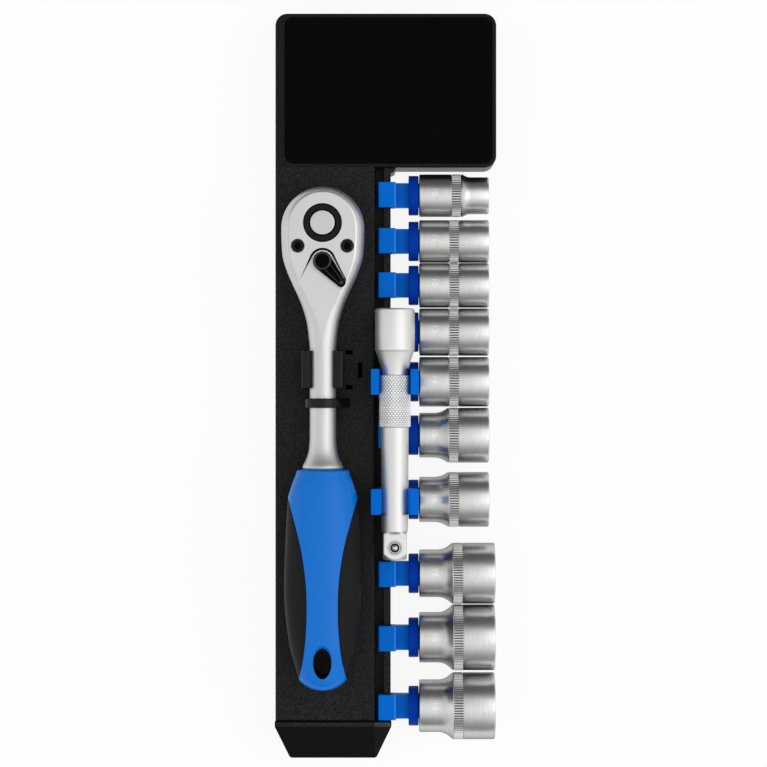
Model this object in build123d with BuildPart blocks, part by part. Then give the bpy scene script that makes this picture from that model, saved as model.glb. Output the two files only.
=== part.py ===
from build123d import *
import os
from math import cos, radians, sin, sqrt

# Socket set on a storage rail, lying on its back: +Z out of the rail's face, +Y towards the header,
# +X towards the sockets. The origin is under the middle of the whole set. All sizes in millimetres.

# Rail
OVERALL_LENGTH = 300.0
OVERALL_WIDTH = 89.2
HEADER_LENGTH = 62.0
HEADER_CORNER = 4.8
FACE_HEIGHT = 20.0
FACE_WIDTH = 40.0
FACE_EDGE_ROUND = 0.8
PLATE = 2.5
WALL = 2.0
RIB = 1.4
CAP_OVERHANG = 0.3
CAP_LENGTH = 15.2
GROOVE_WIDTH = 3.7
LIP_WIDTH = 2.7
LIP_DROP = 2.0
BEAD_HEIGHT = 3.0
STEM_WIDTH = 1.4
CHANNEL_DEPTH = 8.8
HEADER_INNER_FILLET = 2.0

# Header label
LABEL_RIM = 1.5
LABEL_LEFT_RIM = 3.6
LABEL_RECESS = 0.8
LABEL_THICKNESS = 0.6
LABEL_CORNER = 3.6
LABEL_CLEARANCE = 0.12

# End cap
CAP_RISE = 0.4
CAP_STRIP = 2.2
CAP_FOOT_WIDTH = 34.8
CAP_FOOT_DROP = 3.0
CAP_CORNER = 1.4
CAP_PLUG_LENGTH = 6.0
CAP_PLUG_CLEARANCE = 0.15

# Drive squares and their fits
DRIVE_SQUARE = 9.5
DRIVE_SOCKET_CLEARANCE = 0.1
STUD_CLEARANCE = 0.1

# Socket clips
CLIP_LENGTH = 10.2
CLIP_CLEARANCE = 0.2
SHOE_LEG = 1.9
SHOE_RISE = 0.4
SHOE_GROUND = 0.8
SHOE_EDGE_ROUND = 0.7
SOCKET_DROP = 6.0
NECK_LENGTH = 5.15
NECK_WIDTH = 9.8
NECK_HEIGHT = 6.0
COLLAR_DIAMETER = 16.0
COLLAR_THICKNESS = 4.0
STUD_LENGTH = 10.0

# Sockets: hexagon size, distance below the header, outer diameters of the hexagon and drive ends,
# length, start of the band
SOCKETS = (
    (10, 10.9, 14.9, 17.2, 28.0, 12.9),
    (11, 29.4, 17.0, 17.0, 28.0, 12.0),
    (12, 47.2, 17.8, 17.8, 28.0, 12.0),
    (13, 66.1, 19.0, 19.0, 28.0, 11.9),
    (14, 86.2, 20.1, 20.1, 28.0, 11.9),
    (15, 107.8, 22.2, 18.1, 28.0, 11.8),
    (16, 133.8, 22.1, 18.2, 28.0, 11.9),
    (17, 163.7, 24.3, 19.2, 30.4, 13.5),
    (18, 189.6, 26.2, 20.3, 30.4, 13.7),
    (19, 217.3, 26.7, 21.1, 30.4, 13.7),
)
SOCKET_GAP = 0.3
SOCKET_BAND_WIDTH = 4.0
SOCKET_FLARE_LENGTH = 5.5
SOCKET_EDGE_ROUND = 0.6
SOCKET_STEP = 0.5
SOCKET_SQUARE_DEPTH = 11.2
SOCKET_HEX_DEPTH = 14.0
SOCKET_HEX_CLEARANCE = 0.15
SOCKET_BORE = 4.0

# Extension bar
BAR_LENGTH = 100.0
BAR_FROM_HEADER = 57.0
BAR_FROM_LIP = 2.95
BAR_RISE = 9.2
BAR_HEAD_DIAMETER = 15.9
BAR_HEAD_LENGTH = 17.0
BAR_CONE_LENGTH = 9.5
BAR_CONE_TOP = 13.7
BAR_CONE_END = 8.4
BAR_KNURL_DIAMETER = 12.7
BAR_KNURL_LENGTH = 20.9
BAR_SHAFT_TOP = 11.1
BAR_SHAFT_END = 10.2
BAR_SQUARE_LENGTH = 10.3
BAR_SQUARE_CORNER = 0.9
BAR_SOCKET_DEPTH = 11.5
BAR_EDGE = 0.6
BALL_RADIUS = 1.5
BALL_PROUD = 0.6
BALL_CLEARANCE = 0.05
BALL_FROM_END = 4.9
BALL_SPRING_LENGTH = 2.4

# Bar clips
BAR_CLIP_LENGTH = 10.2
BAR_CLIP_CLEARANCE = 0.15
BAR_CLIP_WALL = 2.0
BAR_CLIP_OVERHANG = 1.1
BAR_CLIP_WIDTH = 19.0
BAR_CLIP_LIP_RISE = 2.8
BAR_CLIP_LIP_THICKNESS = 1.7
BAR_CLIP_FOOT_WIDTH = 7.0
UPPER_BAR_CLIP_SIZE = 14
LOWER_BAR_CLIP_SIZE = 16
LOWER_BAR_CLIP_TRAVEL = 1.7

# Ratchet
RATCHET_FROM_LEFT = 19.4
RATCHET_RISE = 12.0
HEAD_WIDTH = 33.0
HEAD_CENTRE_Y = 62.7
HEAD_THICKNESS = 13.0
HEAD_EDGE_ROUND = 3.0
NECK_SECTIONS = (
    (56.5, 16.35, 6.5, 3.0),
    (49.2, 15.5, 6.48, 3.0),
    (41.2, 12.38, 6.4, 3.4),
    (33.1, 8.78, 6.1, 4.0),
    (26.5, 6.7, 5.7, 4.4),
    (20.5, 5.75, 5.4, 4.6),
)
SHANK_DIAMETER = 10.5
SHANK_TOP_Y = 14.3
SHANK_END_Y = -23.2
FERRULE_DIAMETER = 16.4
SHANK_INSET = 0.15
TANG_DIAMETER = 8.0
TANG_END_Y = -92.0
STEP_DEPTH = 1.2
STEP_ROUND = 4.8
STEP_ARM = (9.3, 41.6)
CUT_MARGIN = 1.0

# Ratchet mechanism
DRIVE_Y = 64.6
GEAR_TEETH = 48
GEAR_TIP_RADIUS = 9.6
GEAR_TOOTH_DEPTH = 0.8
GEAR_WIDTH = 7.0
GEAR_CLEARANCE = 0.3
GEAR_FLOAT = 0.2
HUB_RADIUS = 7.8
HUB_PROUD = 0.4
LOWER_HUB_RADIUS = 7.0
RUNNING_CLEARANCE = 0.05
TANG_LENGTH = 11.0
TANG_BALL_RADIUS = 1.6
TANG_BALL_PROUD = 0.75
TANG_BALL_DROP = 6.6
COVER_THICKNESS = 2.0
COVER_RADIUS = 11.3
COVER_LEDGE = 2.8
COVER_CLEARANCE = 0.1
SCREW_OFFSET_X = 9.75
SCREW_Y = 55.5
SCREW_HEAD_RADIUS = 2.5
SCREW_HEAD_HEIGHT = 1.5
SCREW_RADIUS = 1.5
SCREW_CLEARANCE = 0.1
THREAD_CLEARANCE = 0.03
SCREW_KEY = 2.2
SCREW_KEY_DEPTH = 1.0
PAWL_GAP = 0.15
PAWL_DEPTH = 2.2
PAWL_HALF_ANGLE = 21.0
PAWL_SWING = 8.0
PAWL_CLEARANCE = 0.2
PAWL_END_CLEARANCE = 2.0
LEVER_Y = 49.4
LEVER_ANGLE = 41.0
LEVER_BOSS_RADIUS = 3.75
LEVER_TIP_RADIUS = 1.6
LEVER_REACH = 10.6
LEVER_THICKNESS = 3.2
LEVER_BOSS_RISE = 0.9
LEVER_FLOAT = 0.2
LEVER_STEM_RADIUS = 2.8
LEVER_EDGE_ROUND = 0.6
LEVER_BALL_RADIUS = 1.0
LEVER_BALL_CENTRE = 2.05
LEVER_HOLE_DEPTH = 4.4
BUTTON_RADIUS = 4.85
BUTTON_HEIGHT = 2.8
BUTTON_PROUD = 0.9
BUTTON_EDGE_ROUND = 0.5
BUTTON_TRAVEL = 2.5
BUTTON_END_MARGIN = 0.5
BUTTON_SPRING_ROOM = 4.2

# Handle
HANDLE_TOP_Y = -33.1
HANDLE_SECTIONS = (
    (HANDLE_TOP_Y, 10.8, 9.6),
    (-45.0, 13.9, 10.9),
    (-62.0, 14.9, 11.1),
    (-81.0, 15.4, 11.2),
    (-101.5, 13.5, 10.6),
    (-114.5, 10.2, 9.0),
    (-120.7, 5.6, 5.4),
)
CORE_OUTLINE = (
    (14.6, -41.5),
    (11.5, -52.1),
    (8.3, -64.8),
    (6.5, -77.4),
    (6.1, -88.5),
    (7.3, -105.9),
    (9.6, -116.6),
)
CORE_SHOULDER = 16.5
GRIP_GAP = 0.05
HANG_HOLE_Y = -109.6
HANG_HOLE_WIDTH = 7.4
HANG_HOLE_LENGTH = 11.7
TANG_CLEARANCE = 0.03

# Ratchet clip and strap
JAW_LENGTH = 15.0
JAW_CENTRE_Y = 6.7
JAW_WIDTH = 16.5
JAW_CLEARANCE = 0.1
JAW_OVERHANG = 0.85
JAW_RISE = 4.4
JAW_LEAD_IN = 1.3
JAW_FOOT = 2.5
JAW_WEB = 3.0
JAW_PEG_RADIUS = 1.5
JAW_PEG_SPREAD = 3.8
JAW_PEG_CLEARANCE = 0.1
STRAP_Y = -6.7
STRAP_WIDTH = 3.7
STRAP_THICKNESS = 1.4
STRAP_CLEARANCE = 0.65
STRAP_SLOT_CLEARANCE = 0.15
STRAP_FOOT_OUT = 9.7
STRAP_FOOT_TOP = 1.5
STRAP_DEPTH = 5.0

# Rail openings under the ratchet and its ribs
TANG_HOLE_RADIUS = 8.5
RELIEF_SLOTS = (
    (10.25, 6.95, 2.9, 1.8),
    (10.25, -7.1, 2.9, 1.8),
    (14.7, -0.2, 1.8, 6.2),
)
LONG_RIBS_FROM_LEFT = (8.3, 32.1)
CROSS_RIBS_Y = (-122.0, -96.0, -70.0, -44.0, -18.0, 20.0, 46.0, 82.0)
HEADER_RIBS_UP = (20.0, 41.0)

# Springs, and the tolerance for picking corners
WIRE = 0.5
FINE_WIRE = 0.3
BALL_SPRING_TURNS = 3
BUTTON_SPRING_TURNS = 4
NEAR = 0.1

# Places worked out from the sizes above
TOP_Y = OVERALL_LENGTH / 2
RIGHT_X = OVERALL_WIDTH / 2
LEFT_X = -RIGHT_X + CAP_OVERHANG
HEADER_Y = TOP_Y - HEADER_LENGTH
RAIL_END_Y = -TOP_Y + CAP_LENGTH
FACE_RIGHT_X = LEFT_X + FACE_WIDTH
LIP_LEFT_X = FACE_RIGHT_X + GROOVE_WIDTH
LIP_RIGHT_X = LIP_LEFT_X + LIP_WIDTH
LIP_X = (LIP_LEFT_X + LIP_RIGHT_X) / 2
LIP_TOP = FACE_HEIGHT - LIP_DROP
BEAD_BOTTOM = LIP_TOP - BEAD_HEIGHT
RECESS_FLOOR = FACE_HEIGHT - LABEL_RECESS
RECESS_WIDTH = RIGHT_X - LEFT_X - LABEL_LEFT_RIM - LABEL_RIM
RECESS_LENGTH = HEADER_LENGTH - 2 * LABEL_RIM
RECESS_X = RIGHT_X - LABEL_RIM - RECESS_WIDTH / 2
RECESS_Y = (HEADER_Y + TOP_Y) / 2
CHANNEL_FLOOR = FACE_HEIGHT - CHANNEL_DEPTH
CAP_TOP = FACE_HEIGHT + CAP_RISE
CAP_FOOT_TOP = FACE_HEIGHT - CAP_FOOT_DROP
SHOE_TOP = FACE_HEIGHT + SHOE_RISE
SHOE_BOTTOM = CHANNEL_FLOOR + SHOE_GROUND
SOCKET_AXIS_HEIGHT = FACE_HEIGHT - SOCKET_DROP
SHOE_LEFT_X = LIP_LEFT_X - CLIP_CLEARANCE - SHOE_LEG - CLIP_CLEARANCE
SHOE_RIGHT_X = LIP_RIGHT_X + CLIP_CLEARANCE + SHOE_LEG
COLLAR_X = SHOE_RIGHT_X + NECK_LENGTH
SOCKET_X = COLLAR_X + COLLAR_THICKNESS + SOCKET_GAP
STUD_SQUARE = DRIVE_SQUARE - 2 * STUD_CLEARANCE
SOCKET_SQUARE = DRIVE_SQUARE + 2 * DRIVE_SOCKET_CLEARANCE
SOCKET_Y = {size: HEADER_Y - down for size, down, *shape in SOCKETS}
BAR_X = LIP_X + BAR_FROM_LIP
BAR_AXIS_HEIGHT = FACE_HEIGHT + BAR_RISE
BAR_TOP_Y = HEADER_Y - BAR_FROM_HEADER
BAR_NECK_Y = BAR_TOP_Y - BAR_HEAD_LENGTH
BAR_KNURL_Y = BAR_NECK_Y - BAR_CONE_LENGTH
BAR_SHAFT_Y = BAR_KNURL_Y - BAR_KNURL_LENGTH
BAR_END_Y = BAR_TOP_Y - BAR_LENGTH
BAR_SQUARE_Y = BAR_END_Y + BAR_SQUARE_LENGTH
BAR_BALL_Y = BAR_END_Y + BALL_FROM_END
RATCHET_X = LEFT_X + RATCHET_FROM_LEFT
RATCHET_AXIS_HEIGHT = FACE_HEIGHT + RATCHET_RISE
HEAD_TOP = RATCHET_AXIS_HEIGHT + HEAD_THICKNESS / 2
HEAD_BOTTOM = RATCHET_AXIS_HEIGHT - HEAD_THICKNESS / 2
STEP_FLOOR = HEAD_TOP - STEP_DEPTH
COVER_TOP = HEAD_BOTTOM + COVER_THICKNESS
GEAR_BOTTOM = COVER_TOP + GEAR_FLOAT
GEAR_TOP = GEAR_BOTTOM + GEAR_WIDTH
CAVITY_TOP = GEAR_TOP + GEAR_FLOAT
CAVITY_RADIUS = GEAR_TIP_RADIUS + GEAR_CLEARANCE
HUB_TOP = HEAD_TOP + HUB_PROUD
TANG_END = HEAD_BOTTOM - TANG_LENGTH
TANG_BALL_Z = HEAD_BOTTOM - TANG_BALL_DROP
PAWL_INNER = GEAR_TIP_RADIUS + PAWL_GAP
PAWL_OUTER = PAWL_INNER + PAWL_DEPTH
BUTTON_TOP = HUB_TOP + BUTTON_PROUD
BUTTON_BOTTOM = BUTTON_TOP - BUTTON_HEIGHT
SPRING_FLOOR = BUTTON_BOTTOM - BUTTON_SPRING_ROOM
TANG_BALL_INNER = DRIVE_SQUARE / 2 + TANG_BALL_PROUD - 2 * TANG_BALL_RADIUS
BUTTON_STEM_RADIUS = TANG_BALL_INNER - 2 * BALL_CLEARANCE
BUTTON_STEM_END = TANG_END + BUTTON_TRAVEL + BUTTON_END_MARGIN
LEVER_BOTTOM = STEP_FLOOR + LEVER_FLOAT
LEVER_STEM_END = COVER_TOP + LEVER_FLOAT
LEVER_HOLE_Z = (GEAR_BOTTOM + GEAR_TOP) / 2
STRAP_RADIUS = SHANK_DIAMETER / 2 + STRAP_CLEARANCE


def section_plane(x, y, z):
    """A plane across the rail at y, whose own axes run along X and Z, looking along -Y."""
    return Plane(origin=(x, y, z), x_dir=(1, 0, 0), z_dir=(0, -1, 0))


def across_plane(x, y):
    """A plane across a socket's axis at x, looking along +X, whose own axes run along Y and Z."""
    return Plane(origin=(x, y, SOCKET_AXIS_HEIGHT), x_dir=(0, 1, 0), z_dir=(1, 0, 0))


def lying_plane(x, z):
    """A level plane at height z, with its own origin at x, for a profile that turns about a Y axis."""
    return Plane(origin=(x, 0, z), x_dir=(1, 0, 0), z_dir=(0, 0, 1))


def save(builder, name):
    builder.part.label = name
    export_step(builder.part, f"parts/{name}.step")


def block(low, high, mode=Mode.ADD):
    """A box between two corners, in the part that is being built."""
    middle = [(a + b) / 2 for a, b in zip(low, high)]
    with Locations(tuple(middle)):
        Box(*[b - a for a, b in zip(low, high)], mode=mode)


def make_rail_body():
    """The rail and its header: one moulding, open and ribbed at the back."""
    with BuildPart() as rail:
        with BuildSketch() as outline:
            with BuildLine():
                Polyline(
                    (LEFT_X, RAIL_END_Y),
                    (FACE_RIGHT_X, RAIL_END_Y),
                    (FACE_RIGHT_X, HEADER_Y),
                    (RIGHT_X, HEADER_Y),
                    (RIGHT_X, TOP_Y),
                    (LEFT_X, TOP_Y),
                    close=True,
                )
            make_face()
            corners = outline.vertices().filter_by(lambda v: v.X > RIGHT_X - NEAR)
            corners += outline.vertices().filter_by(lambda v: v.Y > TOP_Y - NEAR and v.X < LEFT_X + NEAR)
            fillet(corners, HEADER_CORNER)
        extrude(amount=FACE_HEIGHT)
        fillet(rail.faces().sort_by(Axis.Z)[-1].outer_wire().edges(), FACE_EDGE_ROUND)
        with BuildSketch():
            add(outline.sketch)
            offset(amount=-WALL, mode=Mode.REPLACE)
        extrude(amount=FACE_HEIGHT - PLATE, mode=Mode.SUBTRACT)
        # End of the hollow, open towards the cap
        block(
            (LEFT_X + WALL, RAIL_END_Y, 0),
            (FACE_RIGHT_X - WALL, RAIL_END_Y + WALL, FACE_HEIGHT - PLATE),
            Mode.SUBTRACT,
        )
        # Channel floor, its outer wall, and the stem and bead of the lip
        block((FACE_RIGHT_X, RAIL_END_Y, CHANNEL_FLOOR - WALL), (LIP_RIGHT_X, HEADER_Y, CHANNEL_FLOOR))
        block((LIP_RIGHT_X - WALL, RAIL_END_Y, 0), (LIP_RIGHT_X, HEADER_Y, CHANNEL_FLOOR))
        block(
            (LIP_X - STEM_WIDTH / 2, RAIL_END_Y, CHANNEL_FLOOR),
            (LIP_X + STEM_WIDTH / 2, HEADER_Y, BEAD_BOTTOM),
        )
        block((LIP_LEFT_X, RAIL_END_Y, BEAD_BOTTOM), (LIP_RIGHT_X, HEADER_Y, LIP_TOP))
        # Round corner between the lip and the header
        with BuildSketch():
            with BuildLine():
                corner = (LIP_RIGHT_X, HEADER_Y)
                along = (LIP_RIGHT_X + HEADER_INNER_FILLET, HEADER_Y)
                down = (LIP_RIGHT_X, HEADER_Y - HEADER_INNER_FILLET)
                Line(corner, along)
                RadiusArc(along, down, HEADER_INNER_FILLET)
                Line(down, corner)
            make_face()
        extrude(amount=LIP_TOP)
        # Ribs at the back
        for inset in LONG_RIBS_FROM_LEFT:
            x = LEFT_X + inset
            block(
                (x - RIB / 2, CROSS_RIBS_Y[0], 0),
                (x + RIB / 2, HEADER_Y + HEADER_RIBS_UP[0], FACE_HEIGHT - PLATE),
            )
        for y in CROSS_RIBS_Y:
            block(
                (LEFT_X + WALL, y - RIB / 2, 0),
                (FACE_RIGHT_X - WALL, y + RIB / 2, FACE_HEIGHT - PLATE),
            )
        for x in (-RIGHT_X / 2, 0, RIGHT_X / 2):
            block(
                (x - RIB / 2, HEADER_Y, 0),
                (x + RIB / 2, TOP_Y - WALL, FACE_HEIGHT - PLATE),
            )
        for up in HEADER_RIBS_UP:
            y = HEADER_Y + up
            block(
                (LEFT_X + WALL, y - RIB / 2, 0),
                (RIGHT_X - WALL, y + RIB / 2, FACE_HEIGHT - PLATE),
            )
        # Recess for the label
        with BuildSketch(Plane.XY.offset(RECESS_FLOOR)):
            with Locations((RECESS_X, RECESS_Y)):
                RectangleRounded(RECESS_WIDTH, RECESS_LENGTH, LABEL_CORNER)
        extrude(amount=LABEL_RECESS, mode=Mode.SUBTRACT)
        # Openings in the face: drive square, clip pegs, strap feet and relief slots
        with BuildSketch(Plane.XY.offset(FACE_HEIGHT)):
            with Locations((RATCHET_X, DRIVE_Y)):
                Circle(TANG_HOLE_RADIUS)
            with Locations((RATCHET_X, JAW_CENTRE_Y)):
                with GridLocations(0, 2 * JAW_PEG_SPREAD, 1, 2):
                    Circle(JAW_PEG_RADIUS + JAW_PEG_CLEARANCE)
            for foot_x in strap_feet():
                with Locations((foot_x, STRAP_Y)):
                    Rectangle(
                        STRAP_THICKNESS + 2 * STRAP_SLOT_CLEARANCE, STRAP_WIDTH + 2 * STRAP_SLOT_CLEARANCE
                    )
            for out, up, width, length in RELIEF_SLOTS:
                with Locations((RATCHET_X + out, JAW_CENTRE_Y + up)):
                    Rectangle(width, length)
        extrude(amount=-PLATE, mode=Mode.SUBTRACT)
    save(rail, "rail_body")


def make_header_label():
    """Smooth panel that lies in the header's recess."""
    clearance = 2 * LABEL_CLEARANCE
    with BuildPart() as label:
        with BuildSketch(Plane.XY.offset(RECESS_FLOOR)):
            with Locations((RECESS_X, RECESS_Y)):
                RectangleRounded(RECESS_WIDTH - clearance, RECESS_LENGTH - clearance, LABEL_CORNER)
        extrude(amount=LABEL_THICKNESS)
    save(label, "header_label")


def make_end_cap():
    """Cap that stops the lower end of the rail: a straight strip, then a tapered sloping foot."""
    right_x = LIP_RIGHT_X + CAP_OVERHANG
    middle_x = (-RIGHT_X + right_x) / 2
    strip_y = RAIL_END_Y - CAP_STRIP
    with BuildPart() as cap:
        with BuildSketch() as outline:
            with BuildLine():
                Polyline(
                    (-RIGHT_X, RAIL_END_Y),
                    (-RIGHT_X, strip_y),
                    (middle_x - CAP_FOOT_WIDTH / 2, -TOP_Y),
                    (middle_x + CAP_FOOT_WIDTH / 2, -TOP_Y),
                    (right_x, strip_y),
                    (right_x, RAIL_END_Y),
                    close=True,
                )
            make_face()
            fillet(outline.vertices().filter_by(lambda v: v.Y < RAIL_END_Y - NEAR), CAP_CORNER)
        extrude(amount=CAP_TOP)
        # Slope of the foot
        with BuildSketch(Plane.YZ.offset(-OVERALL_WIDTH)):
            Polygon(
                (strip_y, CAP_TOP),
                (-TOP_Y, CAP_FOOT_TOP),
                (-TOP_Y - CAP_LENGTH, CAP_FOOT_TOP),
                (-TOP_Y - CAP_LENGTH, CAP_TOP + CUT_MARGIN),
                (strip_y, CAP_TOP + CUT_MARGIN),
                align=None,
            )
        extrude(amount=2 * OVERALL_WIDTH, mode=Mode.SUBTRACT)
        # Hollow at the back, inside the foot
        with BuildSketch():
            add(outline.sketch)
            offset(amount=-WALL, mode=Mode.REPLACE)
        extrude(amount=CAP_FOOT_TOP - WALL, mode=Mode.SUBTRACT)
        # Plug that goes into the rail's end
        block(
            (LEFT_X + WALL + CAP_PLUG_CLEARANCE, RAIL_END_Y, CAP_PLUG_CLEARANCE),
            (
                FACE_RIGHT_X - WALL - CAP_PLUG_CLEARANCE,
                RAIL_END_Y + CAP_PLUG_LENGTH,
                FACE_HEIGHT - PLATE - CAP_PLUG_CLEARANCE,
            ),
        )
    save(cap, "end_cap")


def make_socket_clip(size, y):
    """Blue clip: a shoe that hooks over the lip, a neck, a round collar and a square stud."""
    stem_slot = STEM_WIDTH / 2 + CLIP_CLEARANCE
    with BuildPart() as clip:
        with BuildSketch(section_plane(0, y + CLIP_LENGTH / 2, 0)) as shoe:
            with BuildLine():
                Polyline(
                    (SHOE_LEFT_X, SHOE_BOTTOM),
                    (SHOE_LEFT_X, SHOE_TOP),
                    (SHOE_RIGHT_X, SHOE_TOP),
                    (SHOE_RIGHT_X, SHOE_BOTTOM),
                    (LIP_X + stem_slot, SHOE_BOTTOM),
                    (LIP_X + stem_slot, BEAD_BOTTOM - CLIP_CLEARANCE),
                    (LIP_RIGHT_X + CLIP_CLEARANCE, BEAD_BOTTOM - CLIP_CLEARANCE),
                    (LIP_RIGHT_X + CLIP_CLEARANCE, LIP_TOP + CLIP_CLEARANCE),
                    (LIP_LEFT_X - CLIP_CLEARANCE, LIP_TOP + CLIP_CLEARANCE),
                    (LIP_LEFT_X - CLIP_CLEARANCE, BEAD_BOTTOM - CLIP_CLEARANCE),
                    (LIP_X - stem_slot, BEAD_BOTTOM - CLIP_CLEARANCE),
                    (LIP_X - stem_slot, SHOE_BOTTOM),
                    close=True,
                )
            make_face()
            fillet(shoe.vertices().filter_by(lambda v: v.Y > SHOE_TOP - NEAR), SHOE_EDGE_ROUND)
        extrude(amount=CLIP_LENGTH)
        block(
            (SHOE_RIGHT_X, y - NECK_WIDTH / 2, SOCKET_AXIS_HEIGHT - NECK_HEIGHT / 2),
            (COLLAR_X, y + NECK_WIDTH / 2, SOCKET_AXIS_HEIGHT + NECK_HEIGHT / 2),
        )
        with BuildSketch(across_plane(COLLAR_X, y)):
            Circle(COLLAR_DIAMETER / 2)
        extrude(amount=COLLAR_THICKNESS)
        with BuildSketch(across_plane(COLLAR_X + COLLAR_THICKNESS, y)):
            Rectangle(STUD_SQUARE, STUD_SQUARE)
        extrude(amount=STUD_LENGTH)
        chamfer(clip.faces().sort_by(Axis.X)[-1].edges(), SOCKET_EDGE_ROUND)
    save(clip, f"clip_{size}")


def make_bar_clip(name, y, bar_radius):
    """C-clip that stands on a socket clip's shoe and snaps over the extension bar."""
    inner = bar_radius + BAR_CLIP_CLEARANCE
    outer = inner + BAR_CLIP_WALL
    throat = bar_radius - BAR_CLIP_OVERHANG
    throat_height = sqrt(inner**2 - throat**2)
    half_throat = throat_height / 2
    ring_middle = (inner + outer) / 2
    lip_x = BAR_CLIP_WIDTH / 2
    lip_height = throat_height + BAR_CLIP_LIP_RISE
    foot_depth = BAR_AXIS_HEIGHT - SHOE_TOP
    with BuildPart() as clip:
        with BuildSketch(section_plane(BAR_X, y + BAR_CLIP_LENGTH / 2, BAR_AXIS_HEIGHT)):
            Circle(outer)
            with Locations((LIP_X - BAR_X, -foot_depth / 2)):
                Rectangle(BAR_CLIP_FOOT_WIDTH, foot_depth)
            # Opening above the throat, then a flared lip on each side
            Polygon(
                (0, 0),
                (throat * 2, throat_height * 2),
                (0, outer * 3),
                (-throat * 2, throat_height * 2),
                mode=Mode.SUBTRACT,
                align=None,
            )
            for side in (-1, 1):
                Polygon(
                    (side * throat, throat_height),
                    (side * lip_x, lip_height),
                    (side * lip_x, lip_height - BAR_CLIP_LIP_THICKNESS),
                    (side * sqrt(outer**2 - half_throat**2), half_throat),
                    (side * sqrt(ring_middle**2 - half_throat**2), half_throat),
                    align=None,
                )
            Circle(inner, mode=Mode.SUBTRACT)
        extrude(amount=BAR_CLIP_LENGTH)
    save(clip, name)


def make_socket(size, y, hex_end, drive_end, length, band_start):
    """Hexagon socket with its axis along X: square drive at the clip, hexagon at the free end."""
    hex_radius = hex_end / 2
    drive_radius = drive_end / 2
    band_end = band_start + SOCKET_BAND_WIDTH
    with BuildPart() as socket:
        with BuildSketch(section_plane(SOCKET_X, y, SOCKET_AXIS_HEIGHT)) as profile:
            with BuildLine():
                if hex_radius > drive_radius + SOCKET_STEP:
                    flare_start = (band_start - SOCKET_FLARE_LENGTH, drive_radius)
                    flare_end = (band_start, hex_radius)
                    Polyline((0, 0), (0, drive_radius), flare_start)
                    TangentArc(flare_start, flare_end, tangent=(1, 0))
                    Polyline(flare_end, (length, hex_radius), (length, 0), (0, 0))
                elif hex_radius < drive_radius - SOCKET_STEP:
                    shoulder = drive_radius - hex_radius
                    Polyline(
                        (0, 0),
                        (0, drive_radius),
                        (band_end, drive_radius),
                        (band_end + shoulder, hex_radius),
                        (length, hex_radius),
                        (length, 0),
                        close=True,
                    )
                else:
                    Polyline((0, 0), (0, drive_radius), (length, hex_radius), (length, 0), close=True)
            make_face()
            rims = profile.vertices().filter_by(lambda v: v.Y > NEAR)
            fillet([rims.sort_by(Axis.X)[0], rims.sort_by(Axis.X)[-1]], SOCKET_EDGE_ROUND)
        revolve(axis=Axis((SOCKET_X, y, SOCKET_AXIS_HEIGHT), (1, 0, 0)))
        with BuildSketch(across_plane(SOCKET_X, y)):
            Rectangle(SOCKET_SQUARE, SOCKET_SQUARE)
        extrude(amount=SOCKET_SQUARE_DEPTH, mode=Mode.SUBTRACT)
        mouth = across_plane(SOCKET_X + length, y)
        with BuildSketch(mouth):
            RegularPolygon(size / 2 + SOCKET_HEX_CLEARANCE, 6, major_radius=False)
        extrude(amount=-SOCKET_HEX_DEPTH, mode=Mode.SUBTRACT)
        with BuildSketch(mouth):
            Circle(SOCKET_BORE)
        extrude(amount=-length, mode=Mode.SUBTRACT)
    save(socket, f"socket_{size}")


def bar_radius_at(y):
    """Radius of the extension's tapered shaft at y."""
    share = (BAR_SHAFT_Y - y) / (BAR_SHAFT_Y - BAR_SQUARE_Y)
    return (BAR_SHAFT_TOP + (BAR_SHAFT_END - BAR_SHAFT_TOP) * share) / 2


def make_extension_bar():
    """Extension bar: socket end, cone neck, knurled grip, tapered shaft and male square."""
    knurl = BAR_KNURL_DIAMETER / 2
    head = BAR_HEAD_DIAMETER / 2
    cone_end = BAR_CONE_END / 2
    axis_line = Axis((BAR_X, 0, BAR_AXIS_HEIGHT), (0, 1, 0))
    with BuildPart() as bar:
        with BuildSketch(lying_plane(BAR_X, BAR_AXIS_HEIGHT)):
            with BuildLine():
                Polyline(
                    (0, BAR_TOP_Y),
                    (head - BAR_EDGE, BAR_TOP_Y),
                    (head, BAR_TOP_Y - BAR_EDGE),
                    (head, BAR_NECK_Y + BAR_EDGE),
                    (BAR_CONE_TOP / 2, BAR_NECK_Y),
                    (cone_end, BAR_KNURL_Y),
                    (knurl - 2 * BAR_EDGE, BAR_KNURL_Y),
                    (knurl, BAR_KNURL_Y - 2 * BAR_EDGE),
                    (knurl, BAR_SHAFT_Y + BAR_EDGE),
                    (BAR_SHAFT_TOP / 2, BAR_SHAFT_Y),
                    (BAR_SHAFT_END / 2, BAR_SQUARE_Y),
                    (0, BAR_SQUARE_Y),
                    close=True,
                )
            make_face()
        revolve(axis=axis_line)
        with BuildSketch(section_plane(BAR_X, BAR_SQUARE_Y, BAR_AXIS_HEIGHT)):
            RectangleRounded(DRIVE_SQUARE, DRIVE_SQUARE, BAR_SQUARE_CORNER)
        extrude(amount=BAR_SQUARE_LENGTH)
        chamfer(bar.faces().sort_by(Axis.Y)[0].edges(), BAR_EDGE)
        with BuildSketch(section_plane(BAR_X, BAR_TOP_Y, BAR_AXIS_HEIGHT)):
            Rectangle(SOCKET_SQUARE, SOCKET_SQUARE)
        extrude(amount=BAR_SOCKET_DEPTH, mode=Mode.SUBTRACT)
        with BuildSketch(Plane.XY.offset(BAR_AXIS_HEIGHT + DRIVE_SQUARE / 2)):
            with Locations((BAR_X, BAR_BALL_Y)):
                Circle(BALL_RADIUS + BALL_CLEARANCE)
        extrude(amount=-ball_hole_depth(), mode=Mode.SUBTRACT)
    save(bar, "extension_bar")


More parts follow.
